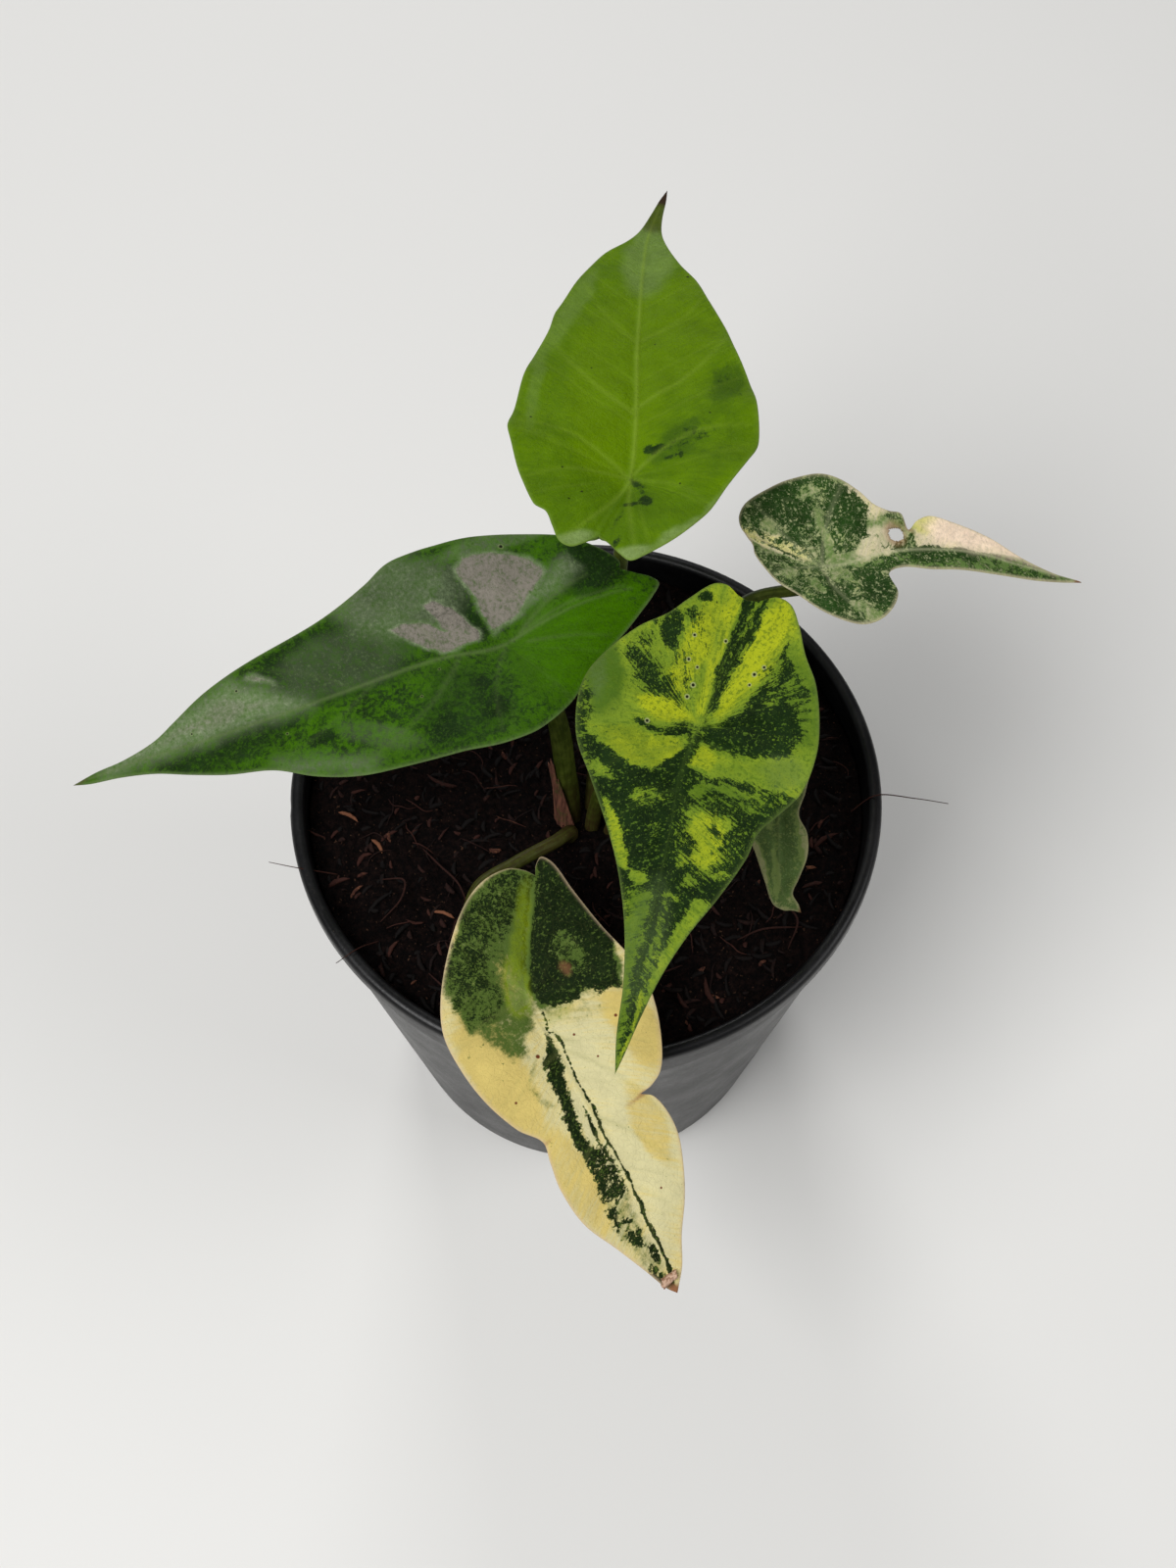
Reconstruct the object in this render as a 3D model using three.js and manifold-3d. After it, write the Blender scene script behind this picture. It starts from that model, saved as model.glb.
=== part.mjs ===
// A young variegated aroid in a round nursery pot: pot, soil, six leaf stalks, a dry sheath
// and six blades. Millimetres, +Z up. The origin is the centre of the pot's flat underside,
// -Y is the front and +X the right side.
import * as THREE from "three";
import { mergeVertices } from "three/addons/utils/BufferGeometryUtils.js";
import Module from "manifold-3d";

// Pot
const POT_RIM_R = 60;
const POT_BASE_R = 43;
const POT_H = 104;
const WALL = 1.2;
const POT_SIDES = 48;
const COLLAR_Z = 90;
const COLLAR_R = 57.4;
const LIP_Z = 99.5;
const LIP_R = 58.2;
const DRAIN_HOLES = 8;
const DRAIN_R = 3.5;
const DRAIN_RING_R = 30;

// Soil
const SOIL_TOP = 97.5;
const SOIL_RELIEF = 0.9;
const CHIPS = 22;
const GAP = 0.3;

// Leaf stalks
const FOOT_Z = 86;
const STALK_SIDES = 8;
const SHEATH_R = 3.5;
const SHEATH_TOP = 114;

// Blades
const BLADE_THICK = 0.7;
const RIB_DEPTH = 0.9;
const RIB_HALF_WIDTH = 1.1;
const RIB_STEPS = [0, 0.08, 0.27, 0.52, 0.78, 1];
const VEIN_SWEEP = 0.45;

const rad = THREE.MathUtils.degToRad;

// Each leaf lies on a bent sheet with its own flat coordinates: y runs along the sheet's axis
// from the stalk (0, 0) to the tip, x across it, to the right for one who looks along the axis.
// at: stalk joint; heading: plan direction of the axis; pitch: its slope at the stalk;
// sag: change of slope from stalk to tip; lift: change of slope over 30 mm behind the stalk;
// roll: turn about the axis; fold: rise of the halves per mm; cup: their curl;
// dimple: depth of the hollow over the stalk; ripple, wave: height and length of edge waves.
// rib, left and right run from the notch between the back lobes to the tip.
const LEAVES = {
  back: {
    at: [8, 24, 181], heading: 84, pitch: -9, sag: -14, lift: 6, roll: 0,
    fold: 0.12, cup: -3, dimple: 3.5, ripple: 0.7, wave: 16, veins: 7, relief: 0.3,
    rib: [[-4, -17.3], [0, 0], [-1.8, 34], [-3, 66], [-2.1, 78], [-0.5, 92.5]],
    left: [[-4, -17.3], [-6.8, -19.4], [-8.7, -20.3], [-10.7, -19.3], [-12.2, -16.3],
      [-13.7, -13.3], [-16, -12], [-18.9, -5.7], [-21.5, 1.5], [-22.8, 6], [-22.3, 12],
      [-21.5, 20], [-20.3, 27.5], [-18.5, 34], [-17.8, 41], [-14, 54], [-11, 62], [-6.8, 68.3],
      [-4.7, 73], [-3, 80.5], [-1.7, 87.5], [-0.5, 92.5]],
    right: [[-4, -17.3], [-2.2, -18.6], [0, -21], [1.9, -22.4], [4, -21.3], [10, -16.4],
      [13.9, -11.3], [17, -4.5], [20.5, 2], [22.2, 8], [21.5, 16], [19.5, 25], [16.3, 33],
      [14.3, 40], [10.5, 48], [7.8, 55], [4.3, 60.5], [1.5, 66.6], [-0.2, 72.5], [-0.6, 79],
      [-0.4, 87], [-0.5, 92.5]],
  },
  left: {
    at: [-14.5, 3.7, 155.5], heading: 196.5, pitch: 2, sag: -22, lift: 0, roll: 0,
    fold: 0.15, cup: -2, dimple: 2, ripple: 0.4, wave: 21, veins: 8, relief: 0.3,
    rib: [[9.2, -24.5], [0, 0], [-0.6, 12], [-2.2, 35], [-2.2, 55], [-1, 70], [0, 84.5]],
    left: [[9.2, -24.5], [7.2, -27.4], [5.8, -29.4], [3.9, -30.5], [1.5, -28.6], [-1.2, -25.7],
      [-5.3, -21], [-11.6, -13], [-16.6, -7.9], [-19.8, -2.7], [-21.6, 1.5], [-22.3, 7],
      [-21.4, 14], [-21.5, 25], [-20.6, 31.5], [-17.5, 40], [-13.5, 47], [-11, 55], [-8, 62],
      [-4.9, 68.4], [-2.7, 75], [-1.3, 81], [0, 84.5]],
    right: [[9.2, -24.5], [11, -24.9], [14, -22.5], [17, -18.5], [18.9, -14.9], [21, -7.2],
      [21.8, 0], [22.3, 7], [22.3, 11.5], [21, 17], [17.5, 22.4], [14.2, 30], [11.5, 38.8],
      [9, 50], [6.9, 56.3], [3.7, 62.8], [1.6, 67.5], [0.5, 74], [0.5, 79.5], [0, 84.5]],
  },
  centre: {
    at: [19.9, -16.2, 158.5], heading: 254.7, pitch: -23, sag: -14, lift: 8, roll: 0,
    fold: 0.12, cup: -3, dimple: 2.5, ripple: 0.4, wave: 19, veins: 7, relief: 0.4,
    rib: [[-3.2, -23.9], [0, 0], [1.1, 8], [0.3, 20], [0, 40], [0, 64.6]],
    left: [[-3.2, -23.9], [-5.5, -24.3], [-8.2, -25.7], [-11, -24.8], [-13.3, -21.3],
      [-15.6, -16.4], [-18.7, -11.5], [-20.9, -5], [-21.7, 1], [-20.7, 7.8], [-17.6, 12.6],
      [-15, 16.4], [-14, 21.3], [-10.8, 29.2], [-7.1, 36.9], [-4.2, 45], [-2.2, 53.5],
      [-0.9, 60.5], [0, 64.6]],
    right: [[-3.2, -23.9], [-1.1, -24.6], [1, -25.9], [3.5, -25.5], [6.8, -22.1], [10, -18.3],
      [14.5, -14.7], [18.8, -9.6], [21.5, -4.5], [21.9, 1], [20.4, 7.5], [16.4, 13.6],
      [10.9, 22.3], [7.4, 29.3], [4.3, 38], [2.2, 48], [1.3, 57.5], [0, 64.6]],
  },
  front: {
    at: [-10.5, -49.6, 114], heading: 298, pitch: -6, sag: -34, lift: 0, roll: 0,
    fold: 0.12, cup: -3, dimple: 2, ripple: 0.4, wave: 18, veins: 7, relief: 0.3,
    rib: [[-12, -21], [0, 0], [0.2, 14], [-0.7, 30], [-1.2, 47], [-1, 63]],
    left: [[-12, -21], [-13, -22.8], [-14.8, -24], [-16.3, -21.5], [-17, -15], [-18.2, -7.5],
      [-20, 0], [-21, 6], [-20.3, 12.5], [-18, 19], [-15.4, 23.5], [-12.5, 25.3], [-10, 25.9],
      [-12, 27], [-13.2, 30.5], [-13.3, 35], [-12, 40], [-9.5, 46.5], [-6, 53], [-3.8, 58.5],
      [-1, 63]],
    right: [[-12, -21], [-10.5, -23], [-7.5, -24.7], [-2, -24.3], [3.5, -21.2], [9.7, -14.8],
      [15, -7.5], [18, -0.5], [18.2, 6], [16.7, 14.5], [13.7, 21.5], [10.4, 25.6], [10.8, 29.5],
      [11.3, 35], [10, 42.5], [6.2, 49.7], [3, 56], [0.6, 61], [-1, 63]],
  },
  right: {
    at: [43.3, 14.5, 165], heading: 4.5, pitch: -6, sag: -18, lift: 0, roll: 0,
    fold: 0.15, cup: 0, dimple: 2, ripple: 0.5, wave: 13, veins: 6, relief: 0.25,
    rib: [[-5.4, -13.3], [0, 0], [-2.3, 13], [-3.2, 24], [-3, 31], [-1.5, 38.5], [0, 52]],
    left: [[-5.4, -13.3], [-7.5, -14.6], [-10, -14.6], [-12.5, -13], [-14.9, -8.9], [-16.9, -4.5],
      [-17.7, 0], [-16.6, 4.5], [-14.6, 8.1], [-12, 10.8], [-10.7, 13.5], [-10.2, 15.8], [-7, 16.9],
      [-9, 18.8], [-10.2, 21.5], [-9.5, 25], [-6.8, 33], [-3.2, 39.5], [-0.9, 46], [0, 52]],
    right: [[-5.4, -13.3], [-3.7, -12.6], [-1.5, -12.6], [2, -11], [5, -9], [7.5, -5.8],
      [11.5, -2], [14, 1.5], [14.8, 4.8], [13.5, 8.5], [10.5, 11.3], [7, 12.6], [4.3, 11.6],
      [2.2, 12.2], [1.2, 15], [1.5, 20], [1.2, 26], [1.4, 33], [1.5, 41], [0.9, 47], [0, 52]],
  },
  small: {
    at: [36.7, -4, 126], heading: 279, pitch: -30, sag: -22, lift: 0, roll: 0,
    fold: 0.15, cup: -4, dimple: 1.5, ripple: 0.4, wave: 9, veins: 5, relief: 0.2,
    rib: [[0.5, -8], [0, 0], [1, 12], [1.8, 22], [1.6, 28], [-1.8, 33]],
    left: [[0.5, -8], [-2, -10], [-5, -9], [-7, -4], [-7, 2], [-4.8, 8.5], [-3, 12.6], [-4.2, 16.5],
      [-3.8, 21], [-1.8, 25.5], [-0.4, 28.5], [-1.4, 31.2], [-1.8, 33]],
    right: [[0.5, -8], [3, -10.5], [6.5, -9.5], [9, -4.5], [9.2, 3], [8, 12], [6.2, 19.6],
      [4.9, 25.5], [3.8, 30], [1.8, 31.8], [0, 32.2], [-1.8, 33]],
  },
};
const TEAR_AT = [-5.9, 14.4];
const TEAR_R = 1.5;

// Each stalk: centre of its foot in the soil, radius at foot and top, and points on its way up.
const STALKS = {
  back: {
    foot: [1.4, -0.6], radii: [1.9, 1.35],
    via: [[3, 10, 121], [5.6, 20, 143], [7, 24.4, 160], [7.8, 24.8, 171]],
  },
  left: {
    foot: [-3.3, -2.7], radii: [2.6, 1.6],
    via: [[-4, -1, 110], [-6, 3.5, 128], [-10.5, 5, 141]],
  },
  centre: {
    foot: [1.2, -5], radii: [1.65, 1.2],
    via: [[3, -6, 114], [10, -9, 136], [16.5, -12, 147]],
  },
  front: {
    foot: [-3, -7.3], radii: [1.45, 1.2],
    via: [[-3.2, -7.7, 99.6], [-6.4, -11.6, 102.6], [-14.3, -17.6, 105], [-21.5, -24, 106.5],
      [-22.5, -36, 107], [-16, -46, 109]],
  },
  right: {
    foot: [4.7, -2.8], radii: [1.4, 1.15],
    via: [[7.5, 0, 110], [17, 9, 129], [30, 17.5, 146]],
  },
  small: {
    foot: [4.4, -6.2], radii: [1.1, 0.85],
    via: [[7, -6.4, 106], [16, -5.5, 114], [27, -4, 119.5]],
  },
};

const COLOURS = {
  pot: 0x17171a, soil: 0x1d1411, sheath: 0x7a4b33, stalk: 0x5e6a2b,
  back: 0x6d9d1f, left: 0x2f5f1e, centre: 0x7d9338, front: 0xd2c583, right: 0x5d7442, small: 0x8ea06c,
};

// Smooth curve through the points, as far along as the share t of their summed distances.
function alongPoints(points, t) {
  const reach = [0];
  for (let i = 1; i < points.length; i += 1) {
    const step = Math.hypot(points[i][0] - points[i - 1][0], points[i][1] - points[i - 1][1]);
    reach.push(reach[i - 1] + step);
  }
  const goal = t * reach[reach.length - 1];
  let i = 0;
  while (i < points.length - 2 && reach[i + 1] < goal) i += 1;
  const u = (goal - reach[i]) / (reach[i + 1] - reach[i]);
  return [0, 1].map((k) => hermite(points, reach, i, u, k));
}

// Cubic between points i and i+1 of values points[..][k] set at the places reach[..].
function hermite(points, reach, i, u, k) {
  const slope = (j) => {
    const a = Math.max(j - 1, 0);
    const b = Math.min(j + 1, points.length - 1);
    return (points[b][k] - points[a][k]) / (reach[b] - reach[a]);
  };
  const span = reach[i + 1] - reach[i];
  const u2 = u * u;
  const u3 = u2 * u;
  return points[i][k] * (2 * u3 - 3 * u2 + 1) + points[i + 1][k] * (3 * u2 - 2 * u3)
    + span * (slope(i) * (u3 - 2 * u2 + u) + slope(i + 1) * (u3 - u2));
}

// x of the rib at the place y; straight on past its ends.
function ribAt(leaf, y) {
  const rib = leaf.rib;
  const places = rib.map((p) => p[1]);
  const last = rib.length - 1;
  if (y <= places[0]) {
    return rib[0][0] + (y - places[0]) * (rib[1][0] - rib[0][0]) / (places[1] - places[0]);
  }
  let i = 0;
  while (i < last - 1 && places[i + 1] < y) i += 1;
  return hermite(rib, places, i, Math.min((y - places[i]) / (places[i + 1] - places[i]), 1), 0);
}

// Height of the blade over its sheet.
function bladeHeight(leaf, x, y) {
  const across = x - ribAt(leaf, y);
  const half = 20;
  const phase = across > 0 ? 1.3 : 0;
  const waves = leaf.ripple * (across / half) ** 2 * Math.sin(2 * Math.PI * y / leaf.wave + phase);
  const dimple = leaf.dimple * Math.exp(-(x * x + y * y) / 98);
  return leaf.fold * (Math.sqrt(across * across + 9) - 3) + leaf.cup * across * across / 1000
    + waves - dimple;
}

// Point of the leaf over the flat coordinates, raised by h along the sheet's normal.
function onSheet(leaf, x, y, h) {
  const tip = leaf.rib[leaf.rib.length - 1][1];
  const bend = y > 0 ? rad(leaf.sag) / tip : -rad(leaf.lift) / 30;
  const start = rad(leaf.pitch);
  const pitch = start + bend * y;
  const straight = Math.abs(bend) < 1e-9;
  const run = straight ? y * Math.cos(start) : (Math.sin(pitch) - Math.sin(start)) / bend;
  const rise = straight ? y * Math.sin(start) : (Math.cos(start) - Math.cos(pitch)) / bend;
  const ahead = new THREE.Vector3(Math.cos(rad(leaf.heading)), Math.sin(rad(leaf.heading)), 0);
  const up = new THREE.Vector3(0, 0, 1);
  const normal = up.clone().multiplyScalar(Math.cos(pitch)).addScaledVector(ahead, -Math.sin(pitch));
  const side = new THREE.Vector3(ahead.y, -ahead.x, 0);
  const roll = rad(leaf.roll);
  const across = side.clone().multiplyScalar(Math.cos(roll)).addScaledVector(normal, Math.sin(roll));
  const out = normal.clone().multiplyScalar(Math.cos(roll)).addScaledVector(side, -Math.sin(roll));
  return new THREE.Vector3(...leaf.at)
    .addScaledVector(ahead, run)
    .addScaledVector(up, rise)
    .addScaledVector(across, x)
    .addScaledVector(out, h);
}

// Share of an edge that the back lobe takes: up to the vein that leaves the stalk forwards.
function lobeShare(edge) {
  let t = 0.1;
  let [x, y] = alongPoints(edge, t);
  while (y < VEIN_SWEEP * Math.abs(x)) {
    t += 0.01;
    [x, y] = alongPoints(edge, t);
  }
  return t;
}

// Flat point on one half: t from the notch to the tip, step j from the rib to the edge.
function flatPoint(leaf, edge, t, j) {
  const notch = leaf.rib[0][1];
  const tip = leaf.rib[leaf.rib.length - 1][1];
  const lobe = lobeShare(edge);
  const y = t < lobe ? notch * (1 - (t / lobe) ** 1.3) : tip * (t - lobe) / (1 - lobe);
  const x = ribAt(leaf, y);
  const [ex, ey] = alongPoints(edge, t);
  const width = Math.hypot(ex - x, ey - y);
  const even = j / (RIB_STEPS.length - 1);
  const w = even + (RIB_STEPS[j] - even) * Math.min(1, width / 12);
  return [x + (ex - x) * w, y + (ey - y) * w, w];
}

// Depth of blade and rib under the upper face.
function bladeDepth(leaf, x, y) {
  const tip = leaf.rib[leaf.rib.length - 1][1];
  const across = (x - ribAt(leaf, y)) / RIB_HALF_WIDTH;
  const taper = THREE.MathUtils.clamp(1 - y / tip, 0, 1);
  return BLADE_THICK + RIB_DEPTH * taper * Math.exp(-across * across);
}

// Closed blade: the same triangles on both faces, joined round the edge.
function bladeGeometry(leaf) {
  const rows = leaf.veins * 5;
  const upper = [];
  const depths = [];
  const grid = new Map();
  const pointAt = (side, i, j) => {
    const end = i === 0 || i === rows;
    const key = end ? `${i}` : `${j === 0 ? 0 : side}/${i}/${j}`;
    if (!grid.has(key)) {
      const t = i / rows;
      const [x, y, w] = flatPoint(leaf, side > 0 ? leaf.right : leaf.left, t, end ? 0 : j);
      const calm = Math.min(1, 6 * t, 6 * (1 - t));
      const swell = calm * leaf.relief * Math.cos(2 * Math.PI * leaf.veins * t) * Math.sin(Math.PI * w);
      grid.set(key, upper.length);
      upper.push(onSheet(leaf, x, y, bladeHeight(leaf, x, y) - swell));
      depths.push(bladeDepth(leaf, x, y));
    }
    return grid.get(key);
  };
  const faces = [];
  const rim = [];
  const addFace = (a, b, c) => {
    if (a !== b && b !== c && c !== a) faces.push([a, b, c]);
  };
  for (const side of [-1, 1]) {
    for (let i = 0; i < rows; i += 1) {
      for (let j = 0; j < RIB_STEPS.length - 1; j += 1) {
        const a = pointAt(side, i, j);
        const b = pointAt(side, i, j + 1);
        const c = pointAt(side, i + 1, j + 1);
        const d = pointAt(side, i + 1, j);
        if (side > 0) {
          addFace(a, b, c);
          addFace(a, c, d);
        } else {
          addFace(a, c, b);
          addFace(a, d, c);
        }
      }
      const last = RIB_STEPS.length - 1;
      const from = pointAt(side, i, last);
      const to = pointAt(side, i + 1, last);
      rim.push(side > 0 ? [from, to] : [to, from]);
    }
  }
  const normals = upper.map(() => new THREE.Vector3());
  for (const [a, b, c] of faces) {
    const ab = upper[b].clone().sub(upper[a]);
    const ac = upper[c].clone().sub(upper[a]);
    const n = ab.cross(ac).normalize();
    for (const k of [a, b, c]) normals[k].add(n);
  }
  const lower = upper.map((p, k) => p.clone().addScaledVector(normals[k].normalize(), -depths[k]));
  const count = upper.length;
  const index = faces.flatMap(([a, b, c]) => [a, b, c, a + count, c + count, b + count]);
  for (const [a, b] of rim) index.push(b, a, a + count, b, a + count, b + count);
  const geometry = new THREE.BufferGeometry();
  const places = [...upper, ...lower].flatMap((p) => [p.x, p.y, p.z]);
  geometry.setAttribute("position", new THREE.Float32BufferAttribute(places, 3));
  geometry.setIndex(index);
  return geometry;
}

// Round stalk along a curve, with its radius changing evenly, closed at both ends.
function stalkGeometry(curve, radii, steps) {
  const frames = curve.computeFrenetFrames(steps, false);
  const places = [];
  const index = [];
  for (let i = 0; i <= steps; i += 1) {
    const centre = curve.getPointAt(i / steps);
    const r = radii[0] + (radii[1] - radii[0]) * i / steps;
    for (let j = 0; j < STALK_SIDES; j += 1) {
      const a = 2 * Math.PI * j / STALK_SIDES;
      const p = centre.clone()
        .addScaledVector(frames.normals[i], r * Math.cos(a))
        .addScaledVector(frames.binormals[i], r * Math.sin(a));
      places.push(p.x, p.y, p.z);
    }
  }
  for (let i = 0; i < steps; i += 1) {
    for (let j = 0; j < STALK_SIDES; j += 1) {
      const k = (j + 1) % STALK_SIDES;
      const a = i * STALK_SIDES;
      const b = a + STALK_SIDES;
      index.push(a + j, a + k, b + k, a + j, b + k, b + j);
    }
  }
  const top = steps * STALK_SIDES;
  for (let j = 1; j < STALK_SIDES - 1; j += 1) {
    index.push(0, j + 1, j, top, top + j, top + j + 1);
  }
  const geometry = new THREE.BufferGeometry();
  geometry.setAttribute("position", new THREE.Float32BufferAttribute(places, 3));
  geometry.setIndex(index);
  return geometry;
}

// The way of a stalk from its foot in the soil, or from deeper, to just under its blade.
function stalkCurve(name, deeper = 0) {
  const { foot, via } = STALKS[name];
  const leaf = LEAVES[name];
  const start = new THREE.Vector3(foot[0], foot[1], FOOT_Z - deeper);
  const soil = new THREE.Vector3(foot[0], foot[1], SOIL_TOP - 1);
  const under = bladeHeight(leaf, 0, 0) - BLADE_THICK - RIB_DEPTH - GAP - 0.35;
  const near = onSheet(leaf, 0, 0, under - 4);
  const end = onSheet(leaf, 0, 0, under);
  const points = [start, soil, ...via.map((p) => new THREE.Vector3(...p)), near, end];
  return new THREE.CatmullRomCurve3(points, false, "centripetal");
}

function stalkSteps(name) {
  return name === "front" ? 20 : 14;
}

const wasm = await Module();
wasm.setup();

function solid(geometry) {
  const bare = geometry.clone();
  bare.deleteAttribute("normal");
  bare.deleteAttribute("uv");
  const merged = mergeVertices(bare, 1e-4);
  return new wasm.Manifold(new wasm.Mesh({
    numProp: 3,
    vertProperties: new Float32Array(merged.attributes.position.array),
    triVerts: new Uint32Array(merged.index.array),
  }));
}

function geometryOf(body) {
  const mesh = body.getMesh();
  const geometry = new THREE.BufferGeometry();
  geometry.setAttribute("position", new THREE.BufferAttribute(new Float32Array(mesh.vertProperties), 3));
  geometry.setIndex(new THREE.BufferAttribute(new Uint32Array(mesh.triVerts), 1));
  return geometry;
}

// The same rule gives the same chips each time.
function seededRandom(seed) {
  let state = seed;
  return () => {
    state = (state * 1664525 + 1013904223) % 4294967296;
    return state / 4294967296;
  };
}

function turned(profile) {
  const points = profile.map(([r, z]) => new THREE.Vector2(r, z));
  const geometry = new THREE.LatheGeometry(points, POT_SIDES);
  geometry.rotateX(Math.PI / 2);
  return geometry;
}

// Radius of the outer wall at the height z.
function wallRadius(z) {
  if (z > COLLAR_Z) return COLLAR_R + (LIP_R - COLLAR_R) * (z - COLLAR_Z) / (LIP_Z - COLLAR_Z);
  return POT_BASE_R + (COLLAR_R - POT_BASE_R) * z / COLLAR_Z;
}

function potGeometry() {
  const lip = POT_RIM_R;
  const body = solid(turned([
    [0, 0], [POT_BASE_R - 1, 0], [wallRadius(1), 1], [COLLAR_R, COLLAR_Z], [LIP_R, LIP_Z],
    [lip - 0.6, POT_H - 4.2], [lip, POT_H - 3.4], [lip, POT_H - 1.3], [lip - 0.4, POT_H - 0.5],
    [lip - 1.3, POT_H], [lip - 2.2, POT_H - 0.3], [lip - 2.7, POT_H - 1.1], [LIP_R - WALL, LIP_Z],
    [COLLAR_R - WALL, COLLAR_Z], [wallRadius(WALL + 0.8) - WALL, WALL + 0.8],
    [wallRadius(WALL) - WALL - 1, WALL], [0, WALL],
  ]));
  let pot = body;
  for (let i = 0; i < DRAIN_HOLES; i += 1) {
    const a = 2 * Math.PI * i / DRAIN_HOLES;
    const drill = new THREE.CylinderGeometry(DRAIN_R, DRAIN_R, 6, 12);
    drill.rotateX(Math.PI / 2);
    drill.translate(DRAIN_RING_R * Math.cos(a), DRAIN_RING_R * Math.sin(a), WALL / 2);
    pot = pot.subtract(solid(drill));
  }
  return geometryOf(pot);
}

// Uneven top of the soil: a few long swells and finer ones across them.
function soilHeight(x, y) {
  const swell = Math.sin(x * 0.11 + 1.1) * Math.cos(y * 0.13 - 0.4);
  const fine = Math.sin(x * 0.53 + y * 0.31) * Math.cos(y * 0.47 - x * 0.22 + 0.8);
  const calm = THREE.MathUtils.smoothstep(Math.hypot(x, y + 3), 6, 16);
  return SOIL_TOP + SOIL_RELIEF * calm * (0.6 * swell + 0.4 * fine);
}

function soilBody() {
  const low = WALL + GAP;
  const gapRadius = (z) => wallRadius(z) - WALL - GAP;
  const rings = [gapRadius(SOIL_TOP), 50, 42, 34, 26, 19, 12, 0];
  const sides = [[0, low], [gapRadius(low) - 1.3, low], [gapRadius(low + 1), low + 1],
    [gapRadius(COLLAR_Z), COLLAR_Z]];
  const geometry = turned([...sides, ...rings.map((r) => [r, SOIL_TOP])]);
  const place = geometry.attributes.position;
  for (let i = 0; i < place.count; i += 1) {
    if (place.getZ(i) > SOIL_TOP - 0.5) {
      place.setZ(i, soilHeight(place.getX(i), place.getY(i)));
    }
  }
  return solid(geometry);
}

// Soil with chips of coir sunk into it and a plain hole for each stalk.
function soilGeometry() {
  let soil = soilBody();
  const random = seededRandom(7);
  for (let i = 0; i < CHIPS; i += 1) {
    const r = 9 + 43 * Math.sqrt((i + 0.5) / CHIPS);
    const a = i * 2.39996 + random() * 0.5;
    const [x, y] = [r * Math.cos(a), r * Math.sin(a)];
    const chip = new THREE.CylinderGeometry(0.5 + random() * 0.5, 0.9 + random() * 0.7, 3 + random() * 4, 4);
    chip.rotateZ(Math.PI / 2 + (random() - 0.5) * 0.5);
    chip.rotateX(random() * 3);
    chip.rotateZ(random() * 6.28);
    chip.translate(x, y, soilHeight(x, y));
    soil = soil.add(solid(chip));
  }
  for (const [name, { radii }] of Object.entries(STALKS)) {
    const wide = (name === "left" ? [SHEATH_R, radii[1]] : radii).map((r) => r + GAP);
    soil = soil.subtract(solid(stalkGeometry(stalkCurve(name, GAP), wide, stalkSteps(name))));
  }
  return geometryOf(soil);
}

// Dry sheath that still hugs the foot of the left stalk, cut slantwise and open at the back.
function sheathGeometry() {
  const { foot, radii } = STALKS.left;
  const way = stalkCurve("left").getSpacedPoints(80).filter((p) => p.z < SHEATH_TOP + 4);
  const outer = new THREE.CatmullRomCurve3(way.filter((p, i) => i % 3 === 1), false, "centripetal");
  const inner = new THREE.CatmullRomCurve3(way.filter((p, i) => i % 3 === 0), false, "centripetal");
  let sheath = solid(stalkGeometry(outer, [SHEATH_R, SHEATH_R - 0.2], 7));
  sheath = sheath.subtract(solid(stalkGeometry(inner, [radii[0] + GAP, radii[0] + GAP], 9)));
  for (const name of ["back", "centre", "front"]) {
    const wide = STALKS[name].radii.map((r) => r + GAP);
    sheath = sheath.subtract(solid(stalkGeometry(stalkCurve(name), wide, 24)));
  }
  const knife = new THREE.BoxGeometry(60, 60, 60);
  knife.translate(0, 0, 30);
  knife.rotateY(rad(72));
  knife.rotateZ(rad(40));
  knife.translate(foot[0], foot[1], SHEATH_TOP - 11);
  sheath = sheath.subtract(solid(knife));
  const pieces = sheath.decompose().sort((a, b) => b.volume() - a.volume());
  return geometryOf(pieces[0]);
}

const plant = new THREE.Group();

function addMesh(name, geometry, colour, roughness) {
  const material = new THREE.MeshStandardMaterial({ color: colour, roughness, metalness: 0 });
  const mesh = new THREE.Mesh(geometry, material);
  mesh.name = name;
  plant.add(mesh);
}

addMesh("pot", potGeometry(), COLOURS.pot, 0.45);
addMesh("soil", soilGeometry(), COLOURS.soil, 0.95);
addMesh("sheath", sheathGeometry(), COLOURS.sheath, 0.8);
for (const [name, leaf] of Object.entries(LEAVES)) {
  let geometry = bladeGeometry(leaf);
  if (name === "right") {
    const tear = new THREE.CylinderGeometry(TEAR_R, TEAR_R, 12, 10);
    tear.rotateX(Math.PI / 2);
    const [x, y] = TEAR_AT;
    const place = onSheet(leaf, x, y, bladeHeight(leaf, x, y));
    tear.translate(place.x, place.y, place.z);
    geometry = geometryOf(solid(geometry).subtract(solid(tear)));
  }
  addMesh(`blade_${name}`, geometry, COLOURS[name], 0.4);
  const stalk = stalkGeometry(stalkCurve(name), STALKS[name].radii, stalkSteps(name));
  addMesh(`petiole_${name}`, stalk, COLOURS.stalk, 0.5);
}

export default plant;
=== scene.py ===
"""A young variegated aroid in a round nursery pot: fine surfaces and finishes round the frame.

Shapes are worked out in millimetres, in the frame's own axes, and put into meshes in metres.
"""
import math

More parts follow.
